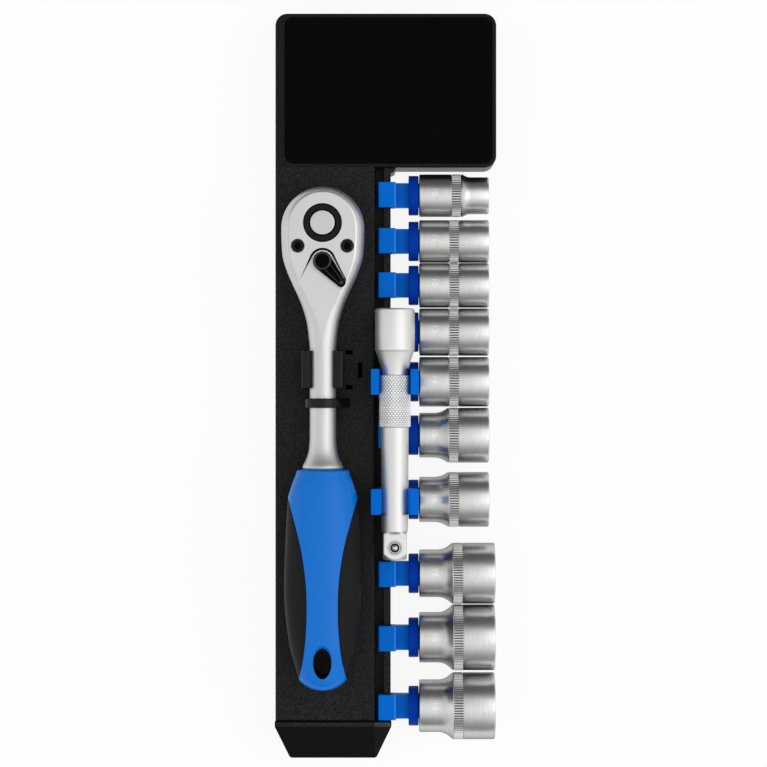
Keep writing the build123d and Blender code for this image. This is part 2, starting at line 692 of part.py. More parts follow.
def ball_hole_depth():
    """Depth of the hole for the extension's ball and its spring."""
    return 2 * BALL_RADIUS - BALL_PROUD + BALL_SPRING_LENGTH


def ball_centre_height():
    return BAR_AXIS_HEIGHT + DRIVE_SQUARE / 2 + BALL_PROUD - BALL_RADIUS


def make_ball(name, centre, radius):
    with BuildPart() as ball:
        with Locations(centre):
            Sphere(radius)
    save(ball, name)


def make_spring(name, start, direction, length, coil_radius, wire, turns):
    """Compression spring from start along direction, a round wire on a helix."""
    coil_length = length - wire
    first_turn = Vector(start) + Vector(direction).normalized() * (wire / 2)
    with BuildPart() as spring:
        with BuildLine():
            path = Helix(
                coil_length / turns, coil_length, coil_radius, center=first_turn, direction=direction
            )
        with BuildSketch(Plane(origin=path @ 0, z_dir=path % 0)):
            Circle(wire / 2)
        sweep(path=path, is_frenet=True)
    save(spring, name)


def pawl_sector(inner, outer, half_angle, turn):
    """Ring sector round the drive axis, towards the handle, turned to one side."""
    reach = 2 * outer
    edges = [radians(-90 + turn + side * half_angle) for side in (-1, 1)]
    with Locations((RATCHET_X, DRIVE_Y)):
        Circle(outer)
        Circle(inner, mode=Mode.SUBTRACT)
        Polygon((0, 0), *[(reach * cos(a), reach * sin(a)) for a in edges], align=None, mode=Mode.INTERSECT)


def toothed_circle(tip, root):
    """Points of a circle of ratchet teeth, about its own centre."""
    step = 360 / GEAR_TEETH / 2
    radii = [tip if i % 2 == 0 else root for i in range(2 * GEAR_TEETH)]
    return [(r * cos(radians(i * step)), r * sin(radians(i * step))) for i, r in enumerate(radii)]


def cover_outline(grow):
    """Outline of the back cover: round over the gear, wide at the screws, narrow at the lever."""
    with Locations((RATCHET_X, DRIVE_Y)):
        Circle(COVER_RADIUS + grow)
    with Locations((RATCHET_X, SCREW_Y)):
        with GridLocations(2 * SCREW_OFFSET_X, 0, 2, 1):
            Circle(COVER_LEDGE + grow)
    with Locations((RATCHET_X, LEVER_Y)):
        Circle(LEVER_STEM_RADIUS + COVER_LEDGE / 2 + grow)
    make_hull()


def lever_direction():
    """Unit vector from the lever's pivot towards its tip."""
    return (sin(radians(LEVER_ANGLE)), -cos(radians(LEVER_ANGLE)), 0)


def lever_point(distance, z):
    """A point on the lever's line, that far behind its pivot."""
    towards_x, towards_y, level = lever_direction()
    return (RATCHET_X - distance * towards_x, LEVER_Y - distance * towards_y, z)


def strap_feet():
    """Where the strap's two feet go through the rail's face."""
    return (RATCHET_X - STRAP_RADIUS - STRAP_THICKNESS / 2, RATCHET_X + STRAP_FOOT_OUT)


def make_ratchet_body():
    """Forged pear head, neck, shank with its ferrule, and the tang inside the handle."""
    half_width = HEAD_WIDTH / 2
    half_height = HEAD_THICKNESS / 2
    shank = SHANK_DIAMETER / 2
    shank_join = shank - SHANK_INSET
    drive_axis = Axis((RATCHET_X, HEAD_CENTRE_Y, 0), (0, 0, 1))
    shank_axis = Axis((RATCHET_X, 0, RATCHET_AXIS_HEIGHT), (0, 1, 0))
    with BuildPart() as body:
        # Round front of the head
        with BuildSketch(section_plane(RATCHET_X, HEAD_CENTRE_Y, RATCHET_AXIS_HEIGHT)) as front:
            with Locations((half_width / 2, 0)):
                Rectangle(half_width, HEAD_THICKNESS)
            outer = front.vertices().filter_by(lambda v: v.X > NEAR)
            fillet(outer, HEAD_EDGE_ROUND)
        revolve(axis=drive_axis, revolution_arc=180)
        # Neck from the head down to the shank
        with BuildSketch(section_plane(RATCHET_X, HEAD_CENTRE_Y, RATCHET_AXIS_HEIGHT)):
            RectangleRounded(HEAD_WIDTH, HEAD_THICKNESS, HEAD_EDGE_ROUND)
        for y, wide, high, corner in NECK_SECTIONS:
            with BuildSketch(section_plane(RATCHET_X, y, RATCHET_AXIS_HEIGHT)):
                RectangleRounded(2 * wide, 2 * high, corner)
        with BuildSketch(section_plane(RATCHET_X, SHANK_TOP_Y, RATCHET_AXIS_HEIGHT)):
            RectangleRounded(2 * shank_join, 2 * shank_join, shank_join - 2 * SHANK_INSET)
        loft()
        # Shank, ferrule and tang
        with BuildSketch(lying_plane(RATCHET_X, RATCHET_AXIS_HEIGHT)):
            with BuildLine():
                ferrule = (FERRULE_DIAMETER / 2, HANDLE_TOP_Y)
                Polyline((0, SHANK_TOP_Y), (shank, SHANK_TOP_Y), (shank, SHANK_END_Y))
                TangentArc((shank, SHANK_END_Y), ferrule, tangent=(0, -1))
                Polyline(
                    ferrule,
                    (TANG_DIAMETER / 2, HANDLE_TOP_Y),
                    (TANG_DIAMETER / 2, TANG_END_Y),
                    (0, TANG_END_Y),
                    (0, SHANK_TOP_Y),
                )
            make_face()
        revolve(axis=shank_axis)
        # Lowered face round the lever
        with BuildSketch(Plane.XY.offset(STEP_FLOOR)):
            with Locations((RATCHET_X, LEVER_Y)):
                Circle(STEP_ROUND)
            arm_x, arm_y = STEP_ARM
            slope = (STEP_ROUND - arm_x) / (LEVER_Y - arm_y)
            low_x = arm_x - slope * (arm_y - SHANK_TOP_Y)
            Polygon(
                (RATCHET_X - STEP_ROUND, LEVER_Y),
                (RATCHET_X + STEP_ROUND, LEVER_Y),
                (RATCHET_X + low_x, SHANK_TOP_Y),
                (RATCHET_X - low_x, SHANK_TOP_Y),
                align=None,
            )
        extrude(amount=HEAD_THICKNESS, mode=Mode.SUBTRACT)
        # Cavity for the gear, pocket for the pawl and room for the lever's stem
        with BuildSketch(Plane.XY.offset(COVER_TOP)):
            with Locations((RATCHET_X, DRIVE_Y)):
                Circle(CAVITY_RADIUS)
            with Locations((RATCHET_X, LEVER_Y)):
                Circle(LEVER_BALL_CENTRE + LEVER_BALL_RADIUS + PAWL_CLEARANCE)
        extrude(amount=CAVITY_TOP - COVER_TOP, mode=Mode.SUBTRACT)
        with BuildSketch(Plane.XY.offset(COVER_TOP)):
            swept = PAWL_HALF_ANGLE + PAWL_SWING + PAWL_END_CLEARANCE
            pawl_sector(HUB_RADIUS, PAWL_OUTER + PAWL_CLEARANCE, swept, 0)
        extrude(amount=CAVITY_TOP - COVER_TOP, mode=Mode.SUBTRACT)
        # Seat of the back cover
        with BuildSketch(Plane.XY.offset(HEAD_BOTTOM - CUT_MARGIN)):
            cover_outline(COVER_CLEARANCE)
        extrude(amount=COVER_THICKNESS + CUT_MARGIN, mode=Mode.SUBTRACT)
        # Holes down from the top: hub, lever stem and screws
        above = Plane.XY.offset(HEAD_TOP + CUT_MARGIN)
        with BuildSketch(above):
            with Locations((RATCHET_X, DRIVE_Y)):
                Circle(HUB_RADIUS + RUNNING_CLEARANCE)
            with Locations((RATCHET_X, LEVER_Y)):
                Circle(LEVER_STEM_RADIUS + RUNNING_CLEARANCE)
        extrude(amount=-(HEAD_TOP + CUT_MARGIN - GEAR_TOP), mode=Mode.SUBTRACT)
        with BuildSketch(above):
            with Locations((RATCHET_X, SCREW_Y)):
                with GridLocations(2 * SCREW_OFFSET_X, 0, 2, 1):
                    Circle(SCREW_HEAD_RADIUS + SCREW_CLEARANCE)
        extrude(amount=-(SCREW_HEAD_HEIGHT + CUT_MARGIN), mode=Mode.SUBTRACT)
        with BuildSketch(above):
            with Locations((RATCHET_X, SCREW_Y)):
                with GridLocations(2 * SCREW_OFFSET_X, 0, 2, 1):
                    Circle(SCREW_RADIUS + SCREW_CLEARANCE)
        extrude(amount=-(HEAD_THICKNESS + CUT_MARGIN), mode=Mode.SUBTRACT)
    save(body, "ratchet_body")


def make_back_cover():
    """Plate that closes the head's cavity on the drive side."""
    with BuildPart() as cover:
        with BuildSketch(Plane.XY.offset(HEAD_BOTTOM)):
            cover_outline(0)
        extrude(amount=COVER_THICKNESS)
        with BuildSketch(Plane.XY.offset(HEAD_BOTTOM)):
            with Locations((RATCHET_X, DRIVE_Y)):
                Circle(LOWER_HUB_RADIUS + RUNNING_CLEARANCE)
            with Locations((RATCHET_X, SCREW_Y)):
                with GridLocations(2 * SCREW_OFFSET_X, 0, 2, 1):
                    Circle(SCREW_RADIUS + THREAD_CLEARANCE)
        extrude(amount=COVER_THICKNESS, mode=Mode.SUBTRACT)
    save(cover, "back_cover")


def make_cover_screws():
    """Two screws from the lever's side down into the back cover."""
    with BuildPart() as screws:
        with BuildSketch(Plane.XY.offset(HEAD_TOP)):
            with Locations((RATCHET_X, SCREW_Y)):
                with GridLocations(2 * SCREW_OFFSET_X, 0, 2, 1):
                    Circle(SCREW_HEAD_RADIUS)
        extrude(amount=-SCREW_HEAD_HEIGHT)
        with BuildSketch(Plane.XY.offset(HEAD_TOP)):
            with Locations((RATCHET_X, SCREW_Y)):
                with GridLocations(2 * SCREW_OFFSET_X, 0, 2, 1):
                    Circle(SCREW_RADIUS)
        extrude(amount=-(HEAD_THICKNESS - SCREW_CLEARANCE))
        with BuildSketch(Plane.XY.offset(HEAD_TOP)):
            with Locations((RATCHET_X, SCREW_Y)):
                with GridLocations(2 * SCREW_OFFSET_X, 0, 2, 1):
                    RegularPolygon(SCREW_KEY / 2, 6, major_radius=False)
        extrude(amount=-SCREW_KEY_DEPTH, mode=Mode.SUBTRACT)
    save(screws, "cover_screws")


def make_drive_gear():
    """Toothed wheel with a hub on each side, the square drive and the bore for the release button."""
    lower_hub_bottom = HEAD_BOTTOM + COVER_CLEARANCE
    with BuildPart() as gear:
        with BuildSketch(Plane.XY.offset(GEAR_BOTTOM)):
            with Locations((RATCHET_X, DRIVE_Y)):
                Polygon(*toothed_circle(GEAR_TIP_RADIUS, GEAR_TIP_RADIUS - GEAR_TOOTH_DEPTH), align=None)
        extrude(amount=GEAR_WIDTH)
        with BuildSketch(Plane.XY.offset(GEAR_TOP)):
            with Locations((RATCHET_X, DRIVE_Y)):
                Circle(HUB_RADIUS)
        extrude(amount=HUB_TOP - GEAR_TOP)
        with BuildSketch(Plane.XY.offset(lower_hub_bottom)):
            with Locations((RATCHET_X, DRIVE_Y)):
                Circle(LOWER_HUB_RADIUS)
        extrude(amount=GEAR_BOTTOM - lower_hub_bottom)
        with BuildSketch(Plane.XY.offset(TANG_END)):
            with Locations((RATCHET_X, DRIVE_Y)):
                RectangleRounded(DRIVE_SQUARE, DRIVE_SQUARE, BAR_SQUARE_CORNER)
        extrude(amount=lower_hub_bottom - TANG_END)
        chamfer(gear.faces().sort_by(Axis.Z)[0].edges(), BAR_EDGE)
        with BuildSketch(Plane.XY.offset(SPRING_FLOOR)):
            with Locations((RATCHET_X, DRIVE_Y)):
                Circle(BUTTON_RADIUS + RUNNING_CLEARANCE)
        extrude(amount=HUB_TOP - SPRING_FLOOR, mode=Mode.SUBTRACT)
        with BuildSketch(Plane.XY.offset(TANG_END)):
            with Locations((RATCHET_X, DRIVE_Y)):
                Circle(BUTTON_STEM_RADIUS + RUNNING_CLEARANCE)
        extrude(amount=SPRING_FLOOR - TANG_END, mode=Mode.SUBTRACT)
        with BuildSketch(Plane(origin=(RATCHET_X, DRIVE_Y, TANG_BALL_Z), x_dir=(1, 0, 0), z_dir=(0, 1, 0))):
            Circle(TANG_BALL_RADIUS + BALL_CLEARANCE)
        extrude(amount=DRIVE_SQUARE, mode=Mode.SUBTRACT)
    save(gear, "drive_gear")


def make_pawl():
    """Double-ended pawl, toothed on the side of the gear, lying at one end of its pocket."""
    with BuildPart() as pawl:
        with BuildSketch(Plane.XY.offset(GEAR_BOTTOM)):
            pawl_sector(HUB_RADIUS, PAWL_OUTER, PAWL_HALF_ANGLE, -PAWL_SWING)
            with Locations((RATCHET_X, DRIVE_Y)):
                Polygon(
                    *toothed_circle(PAWL_INNER + GEAR_TOOTH_DEPTH, PAWL_INNER),
                    align=None,
                    mode=Mode.SUBTRACT,
                )
        extrude(amount=GEAR_WIDTH)
    save(pawl, "pawl")


def make_reverse_lever():
    """Lever with a raised boss, its stem inside the head and a hole for the detent ball."""
    tip = lever_point(-LEVER_REACH, 0)
    with BuildPart() as lever:
        with BuildSketch(Plane.XY.offset(LEVER_BOTTOM)):
            with Locations((RATCHET_X, LEVER_Y)):
                Circle(LEVER_BOSS_RADIUS)
            with Locations(tip[:2]):
                Circle(LEVER_TIP_RADIUS)
            make_hull()
        extrude(amount=LEVER_THICKNESS)
        fillet(lever.faces().sort_by(Axis.Z)[-1].edges(), LEVER_EDGE_ROUND)
        with BuildSketch(Plane.XY.offset(LEVER_BOTTOM)):
            with Locations((RATCHET_X, LEVER_Y)):
                Circle(LEVER_BOSS_RADIUS - LEVER_EDGE_ROUND)
        extrude(amount=LEVER_THICKNESS + LEVER_BOSS_RISE)
        fillet(lever.faces().sort_by(Axis.Z)[-1].edges(), LEVER_EDGE_ROUND)
        with BuildSketch(Plane.XY.offset(LEVER_STEM_END)):
            with Locations((RATCHET_X, LEVER_Y)):
                Circle(LEVER_STEM_RADIUS)
        extrude(amount=LEVER_BOTTOM - LEVER_STEM_END)
        mouth = Vector(lever_point(LEVER_STEM_RADIUS, LEVER_HOLE_Z))
        with BuildSketch(Plane(origin=mouth, z_dir=lever_direction())):
            Circle(LEVER_BALL_RADIUS + BALL_CLEARANCE)
        extrude(amount=LEVER_HOLE_DEPTH, both=True, mode=Mode.SUBTRACT)
    save(lever, "reverse_lever")


def make_release_button():
    """Round push button on a stem that runs down through the square drive."""
    with BuildPart() as button:
        with BuildSketch(Plane.XY.offset(BUTTON_BOTTOM)):
            with Locations((RATCHET_X, DRIVE_Y)):
                Circle(BUTTON_RADIUS)
        extrude(amount=BUTTON_HEIGHT)
        fillet(button.faces().sort_by(Axis.Z)[-1].edges(), BUTTON_EDGE_ROUND)
        with BuildSketch(Plane.XY.offset(BUTTON_STEM_END)):
            with Locations((RATCHET_X, DRIVE_Y)):
                Circle(BUTTON_STEM_RADIUS)
        extrude(amount=BUTTON_BOTTOM - BUTTON_STEM_END)
        # Groove that comes level with the tang's ball when the button is pressed, and lets it sink in
        with BuildSketch(Plane.XY.offset(TANG_BALL_Z + BUTTON_TRAVEL - TANG_BALL_RADIUS)):
            with Locations((RATCHET_X, DRIVE_Y)):
                Circle(BUTTON_STEM_RADIUS)
                Circle(BUTTON_STEM_RADIUS - TANG_BALL_PROUD, mode=Mode.SUBTRACT)
        extrude(amount=2 * TANG_BALL_RADIUS, mode=Mode.SUBTRACT)
    save(button, "release_button")


def make_handle_core():
    """Hard core of the handle, waisted between the grips, with the tang's bore and the hanging hole."""
    end_y = HANDLE_SECTIONS[-1][0] - CORE_SHOULDER
    top_y = HANDLE_TOP_Y + CORE_SHOULDER
    with BuildPart() as core:
        for y, wide, high in HANDLE_SECTIONS:
            with BuildSketch(section_plane(RATCHET_X, y, RATCHET_AXIS_HEIGHT)):
                Ellipse(wide, high)
        loft()
        # Top view of the core: full width at both ends, a waist between the two grips
        with BuildSketch(lying_plane(RATCHET_X, 0)):
            with BuildLine():
                Polyline(
                    (0, end_y),
                    (CORE_SHOULDER, end_y),
                    (CORE_SHOULDER, CORE_OUTLINE[-1][1]),
                    CORE_OUTLINE[-1],
                )
                Spline(*CORE_OUTLINE)
                Polyline(
                    CORE_OUTLINE[0],
                    (CORE_SHOULDER, CORE_OUTLINE[0][1]),
                    (CORE_SHOULDER, top_y),
                    (0, top_y),
                    (0, end_y),
                )
            make_face()
            mirror(about=Plane.YZ)
        extrude(amount=2 * RATCHET_AXIS_HEIGHT, mode=Mode.INTERSECT)
        with BuildSketch(section_plane(RATCHET_X, HANDLE_TOP_Y, RATCHET_AXIS_HEIGHT)):
            Circle(TANG_DIAMETER / 2 + TANG_CLEARANCE)
        extrude(amount=HANDLE_TOP_Y - TANG_END_Y + TANG_CLEARANCE, mode=Mode.SUBTRACT)
        with BuildSketch(lying_plane(RATCHET_X, 0)):
            with Locations((0, HANG_HOLE_Y)):
                Ellipse(HANG_HOLE_WIDTH / 2, HANG_HOLE_LENGTH / 2)
        extrude(amount=2 * RATCHET_AXIS_HEIGHT, mode=Mode.SUBTRACT)
    save(core, "handle_core")


def make_grip(name, side):
    """Soft grip on one side of the handle's core, side 1 towards +X and -1 towards -X."""
    edge = [(side * (x + GRIP_GAP), y) for x, y in CORE_OUTLINE]
    with BuildPart() as grip:
        for y, wide, high in HANDLE_SECTIONS:
            with BuildSketch(section_plane(RATCHET_X, y, RATCHET_AXIS_HEIGHT)):
                Ellipse(wide, high)
        loft()
        with BuildSketch(lying_plane(RATCHET_X, 0)):
            with BuildLine():
                Spline(*edge)
                Polyline(
                    edge[-1],
                    (side * 2 * CORE_SHOULDER, CORE_OUTLINE[-1][1]),
                    (side * 2 * CORE_SHOULDER, CORE_OUTLINE[0][1]),
                    edge[0],
                )
            make_face()
        extrude(amount=2 * RATCHET_AXIS_HEIGHT, mode=Mode.INTERSECT)
    save(grip, name)


def make_ratchet_clip():
    """Pair of snap jaws on one foot, pegged into the rail's face, that hold the shank."""
    inner = SHANK_DIAMETER / 2 + JAW_CLEARANCE
    throat = SHANK_DIAMETER / 2 - JAW_OVERHANG
    throat_height = sqrt(inner**2 - throat**2)
    foot = FACE_HEIGHT - RATCHET_AXIS_HEIGHT
    with BuildPart() as jaws:
        with BuildSketch(section_plane(RATCHET_X, JAW_CENTRE_Y + JAW_LENGTH / 2, RATCHET_AXIS_HEIGHT)):
            with Locations((0, (foot + JAW_RISE) / 2)):
                Rectangle(JAW_WIDTH, JAW_RISE - foot)
            Polygon(
                (-throat, 0),
                (throat, 0),
                (throat, throat_height),
                (throat + JAW_LEAD_IN, JAW_RISE),
                (-throat - JAW_LEAD_IN, JAW_RISE),
                (-throat, throat_height),
                align=None,
                mode=Mode.SUBTRACT,
            )
            Circle(inner, mode=Mode.SUBTRACT)
            # Room on each side of the web under the shank, so that the jaws can spring apart
            for side in (-1, 1):
                with Locations((side * (JAW_WEB / 2 + throat) / 2, (foot + JAW_FOOT) / 2)):
                    Rectangle(throat - JAW_WEB / 2, -(foot + JAW_FOOT), mode=Mode.SUBTRACT)
        extrude(amount=JAW_LENGTH)
        with BuildSketch(Plane.XY.offset(FACE_HEIGHT)):
            with Locations((RATCHET_X, JAW_CENTRE_Y)):
                with GridLocations(0, 2 * JAW_PEG_SPREAD, 1, 2):
                    Circle(JAW_PEG_RADIUS)
        extrude(amount=-PLATE)
    save(jaws, "ratchet_clip")


def make_retaining_strap():
    """Strap over the shank: an arch with one straight leg, and one that leans out to its foot."""
    outer = STRAP_RADIUS + STRAP_THICKNESS
    floor = FACE_HEIGHT - RATCHET_AXIS_HEIGHT
    bottom = floor - STRAP_DEPTH
    foot_top = floor + STRAP_FOOT_TOP
    foot_in = STRAP_FOOT_OUT - STRAP_THICKNESS / 2
    foot_out = STRAP_FOOT_OUT + STRAP_THICKNESS / 2
    with BuildPart() as strap:
        with BuildSketch(section_plane(RATCHET_X, STRAP_Y + STRAP_WIDTH / 2, RATCHET_AXIS_HEIGHT)):
            Circle(outer)
            Circle(STRAP_RADIUS, mode=Mode.SUBTRACT)
            with Locations((0, -outer / 2)):
                Rectangle(2 * outer, outer, mode=Mode.SUBTRACT)
            with Locations((-(STRAP_RADIUS + outer) / 2, bottom / 2)):
                Rectangle(STRAP_THICKNESS, -bottom)
            Polygon(
                (STRAP_RADIUS, 0),
                (outer, 0),
                (foot_out, foot_top),
                (foot_out, bottom),
                (foot_in, bottom),
                (foot_in, foot_top),
                align=None,
            )
        extrude(amount=STRAP_WIDTH)
    save(strap, "retaining_strap")


os.makedirs("parts", exist_ok=True)

make_rail_body()
make_header_label()
make_end_cap()
make_ratchet_clip()
make_retaining_strap()

for size, down, *shape in SOCKETS:
    make_socket_clip(size, HEADER_Y - down)
    make_socket(size, HEADER_Y - down, *shape)

make_bar_clip("upper_bar_clip", SOCKET_Y[UPPER_BAR_CLIP_SIZE], BAR_KNURL_DIAMETER / 2)
lower_clip_y = SOCKET_Y[LOWER_BAR_CLIP_SIZE]
lower_clip_top = lower_clip_y + BAR_CLIP_LENGTH / 2 + LOWER_BAR_CLIP_TRAVEL
make_bar_clip("lower_bar_clip", lower_clip_y, bar_radius_at(lower_clip_top))
make_extension_bar()
make_ball("extension_ball", (BAR_X, BAR_BALL_Y, ball_centre_height()), BALL_RADIUS)
ball_spring_floor = BAR_AXIS_HEIGHT + DRIVE_SQUARE / 2 - ball_hole_depth()
ball_spring_length = ball_centre_height() - BALL_RADIUS - ball_spring_floor
make_spring(
    "extension_spring",
    (BAR_X, BAR_BALL_Y, ball_spring_floor),
    (0, 0, 1),
    ball_spring_length,
    BALL_RADIUS - FINE_WIRE,
    FINE_WIRE,
    BALL_SPRING_TURNS,
)

make_ratchet_body()
make_back_cover()
make_cover_screws()
make_drive_gear()
tang_ball_y = DRIVE_Y + DRIVE_SQUARE / 2 + TANG_BALL_PROUD - TANG_BALL_RADIUS
make_ball("tang_ball", (RATCHET_X, tang_ball_y, TANG_BALL_Z), TANG_BALL_RADIUS)
make_pawl()
make_reverse_lever()
make_ball("lever_ball", lever_point(LEVER_BALL_CENTRE, LEVER_HOLE_Z), LEVER_BALL_RADIUS)
lever_spring_start = LEVER_STEM_RADIUS - LEVER_HOLE_DEPTH
make_spring(
    "lever_spring",
    lever_point(lever_spring_start, LEVER_HOLE_Z),
    tuple(-part for part in lever_direction()),
    LEVER_BALL_CENTRE - LEVER_BALL_RADIUS - lever_spring_start,
    LEVER_BALL_RADIUS - FINE_WIRE,
    FINE_WIRE,
    BALL_SPRING_TURNS,
)
make_release_button()
make_spring(
    "button_spring",
    (RATCHET_X, DRIVE_Y, SPRING_FLOOR),
    (0, 0, 1),
    BUTTON_SPRING_ROOM,
    (BUTTON_RADIUS + BUTTON_STEM_RADIUS) / 2,
    WIRE,
    BUTTON_SPRING_TURNS,
)
make_handle_core()
make_grip("left_grip", -1)
make_grip("right_grip", 1)
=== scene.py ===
"""Looks of a socket set on its storage rail, with a plain stage and a camera above it."""

import math

import bmesh
import bpy
from mathutils import Matrix, Vector


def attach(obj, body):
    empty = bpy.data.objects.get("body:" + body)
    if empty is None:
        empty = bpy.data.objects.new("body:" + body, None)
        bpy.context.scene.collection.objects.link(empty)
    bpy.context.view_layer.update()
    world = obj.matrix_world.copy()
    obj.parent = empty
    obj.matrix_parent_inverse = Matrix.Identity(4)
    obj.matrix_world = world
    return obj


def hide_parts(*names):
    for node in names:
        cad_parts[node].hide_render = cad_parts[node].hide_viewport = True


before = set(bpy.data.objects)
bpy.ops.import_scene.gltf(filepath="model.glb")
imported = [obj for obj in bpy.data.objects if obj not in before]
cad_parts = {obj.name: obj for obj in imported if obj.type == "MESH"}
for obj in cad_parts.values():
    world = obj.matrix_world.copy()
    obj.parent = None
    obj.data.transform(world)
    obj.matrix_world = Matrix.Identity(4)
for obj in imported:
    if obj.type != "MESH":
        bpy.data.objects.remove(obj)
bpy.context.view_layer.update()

bl_info = {
    "name": "Socket Set on a Rail",
    "version": (1, 0, 0),
    "blender": (4, 5, 0),
    "location": "3D View > Sidebar > Socket Set",
    "description": "Sockets, ratchet and extension bar on a storage rail, with a stage and a camera",
    "category": "Add Mesh",
}

MM = 0.001
FULL_TURN = 2 * math.pi
QUARTER_TURN = math.pi / 2

# Places in the part, in millimetres
RATCHET_X = -24.9
RATCHET_Z = 32.0
HEAD_Y = 62.7
DRIVE_Y = 64.6
SCREW_X = 9.75
SCREW_Y = 55.5
LEVER_Y = 49.4
BAR_X = 3.7
BAR_Z = 29.2
BALL_Y = -64.1
SOCKET_X = 13.65
SOCKET_Z = 14.0
HEADER_Y = 88.0
HEADER_EDGE_Z = 18.6

# Size, place along the rail, outer diameters at the hexagon and at the drive, length, start of the band
SOCKETS = (
    (10, 77.1, 14.9, 17.2, 28.0, 12.9),
    (11, 58.6, 17.25, 17.25, 28.0, 12.0),
    (12, 40.8, 18.05, 18.05, 28.0, 12.0),
    (13, 21.9, 19.15, 19.15, 28.0, 11.9),
    (14, 1.8, 20.1, 20.1, 28.0, 11.9),
    (15, -19.8, 22.2, 18.1, 28.0, 11.8),
    (16, -45.8, 22.1, 18.2, 28.0, 11.9),
    (17, -75.7, 24.6, 19.2, 30.4, 13.5),
    (18, -101.6, 26.5, 20.3, 30.4, 13.7),
    (19, -129.3, 26.9, 21.1, 30.4, 13.7),
)
FIXED_CLIPS = (11, 12, 13, 14)
BAND_LENGTH = 4.0
# Depth of a band's groove, step by step over one tooth
TOOTH = (0, 0, 0, 0.75, 1.0, 0.75)
SQUARE_HOLE = 9.7
SQUARE_DEPTH = 11.2
HEXAGON_PLAY = 0.15
HEXAGON_DEPTH = 13.2
THROUGH_HOLE = 4.0

# Clip, across the rail and up, with the radii of its corners: shoe on the lip, its edge that carries
# painted highlight, neck
SHOE = (
    (-2.9, 12, 0.3), (0.0, 12, 0.2), (0.0, 14.8, 0.1), (-0.8, 14.8, 0.1),
    (-0.8, 18.2, 0.2), (2.3, 18.2, 0.2), (2.3, 14.8, 0.1), (1.5, 14.8, 0.1),
    (1.5, 12, 0.2), (4.2, 12, 0.3), (4.2, 20.4, 0.9), (-2.9, 20.4, 0.9),
)
SHOE_EDGE = ((3.55, 19.9, 0.05), (4.28, 19.1, 0.3), (4.28, 20.05, 0.55), (3.55, 20.46, 0.1))
CLIP_NECK = ((3.9, 11.0, 0.4), (9.6, 11.0, 0.1), (9.6, 17.0, 0.1), (3.9, 17.0, 0.4))
SHOE_HALF, SHOE_EDGE_HALF, CLIP_NECK_HALF = 5.1, 4.8, 4.9
# Collar and stud of a clip: place along X, radius or width across the flats
COLLAR = ((9.35, 0), (9.35, 7.75), (9.6, 8.0), (13.1, 8.0), (13.35, 7.75), (13.35, 0))
STUD = ((13.0, 9.3), (22.7, 9.3), (23.35, 8.1))
STUD_CORNER = 0.5

# Bar clips: name, place along the rail, the bar's radius there, body, node
BAR_CLIPS = (
    ("upper_clip", 1.8, 6.35, "rail", "upper_bar_clip"),
    ("lower_clip", -45.8, 5.3, "carrier_16", "lower_bar_clip"),
)
# Their gap to the bar, wall, what the throat holds back, half width over the tabs, foot and tabs
BAR_CLIP_GAP = 0.15
BAR_CLIP_WALL = 2.0
BAR_CLIP_HOLD = 0.35
BAR_CLIP_HALF = 9.5
FOOT_X, FOOT_Z, FOOT_HALF = 0.75, 20.4, 3.5
TAB_INSET, TAB_RISE, TAB_THICKNESS = 1.1, 2.8, 1.7

# End cap: left side, fold and right side; upper end, shoulder and foot; falls to the foot and past the fold
CAP_LEFT, CAP_FOLD, CAP_RIGHT = -44.6, -4.3, 2.4
CAP_UPPER, CAP_SHOULDER, CAP_FOOT = -134.85, -137.0, -150.0
CAP_FOOT_LEFT, CAP_FOOT_RIGHT = -38.5, -3.7
CAP_TOP, CAP_FOOT_DROP, CAP_FOLD_DROP = 20.4, 3.4, 0.12
CAP_CORNERS = (
    (CAP_LEFT, CAP_UPPER, 0.5), (CAP_LEFT, CAP_SHOULDER, 1.4), (CAP_FOOT_LEFT, CAP_FOOT, 1.4),
    (CAP_FOOT_RIGHT, CAP_FOOT, 1.4), (CAP_RIGHT, CAP_SHOULDER, 1.4), (CAP_RIGHT, CAP_UPPER, 0.5),
    (CAP_FOLD, CAP_UPPER, 0),
)
CAP_PLUG = ((-42.1, -134.84), (-6.5, -134.84), (-6.5, -128.9), (-42.1, -128.9))
CAP_HOLLOW = (
    (-42.6, -136.85), (-42.6, -137.4), (-36.9, -148.0), (-5.3, -148.0), (0.4, -137.4), (0.4, -136.85),
)
# Lit and shaded copies of the rail's plastic, as painted light and shade, for the cap's slope, turned side,
# strip and strip's tip: name, share of the rail's colour
CAP_PAINTED_LIGHT_AND_SHADE = (
    ("cap_slope_painted_shade", 0.3),
    ("cap_turned_side_painted_shade", 0.75),
    ("cap_strip_painted_light", 1.7),
    ("cap_tip_painted_highlight", 5.0),
)

# Extension bar: radii of its knurl, shaft end and head, width of its square, length of one knurl
KNURL_RADIUS = 6.35
SHAFT_RADIUS = 5.26
BAR_HEAD_RADIUS = 7.95
BAR_SQUARE = 9.5
KNURL_LENGTH = 1.65
KNURL_STEPS = 8
# Share of a knurl's flank that stays at full height, and the depth from which a groove looks shadowed
KNURL_CREST = 0.25
KNURL_SHADOW = 0.72

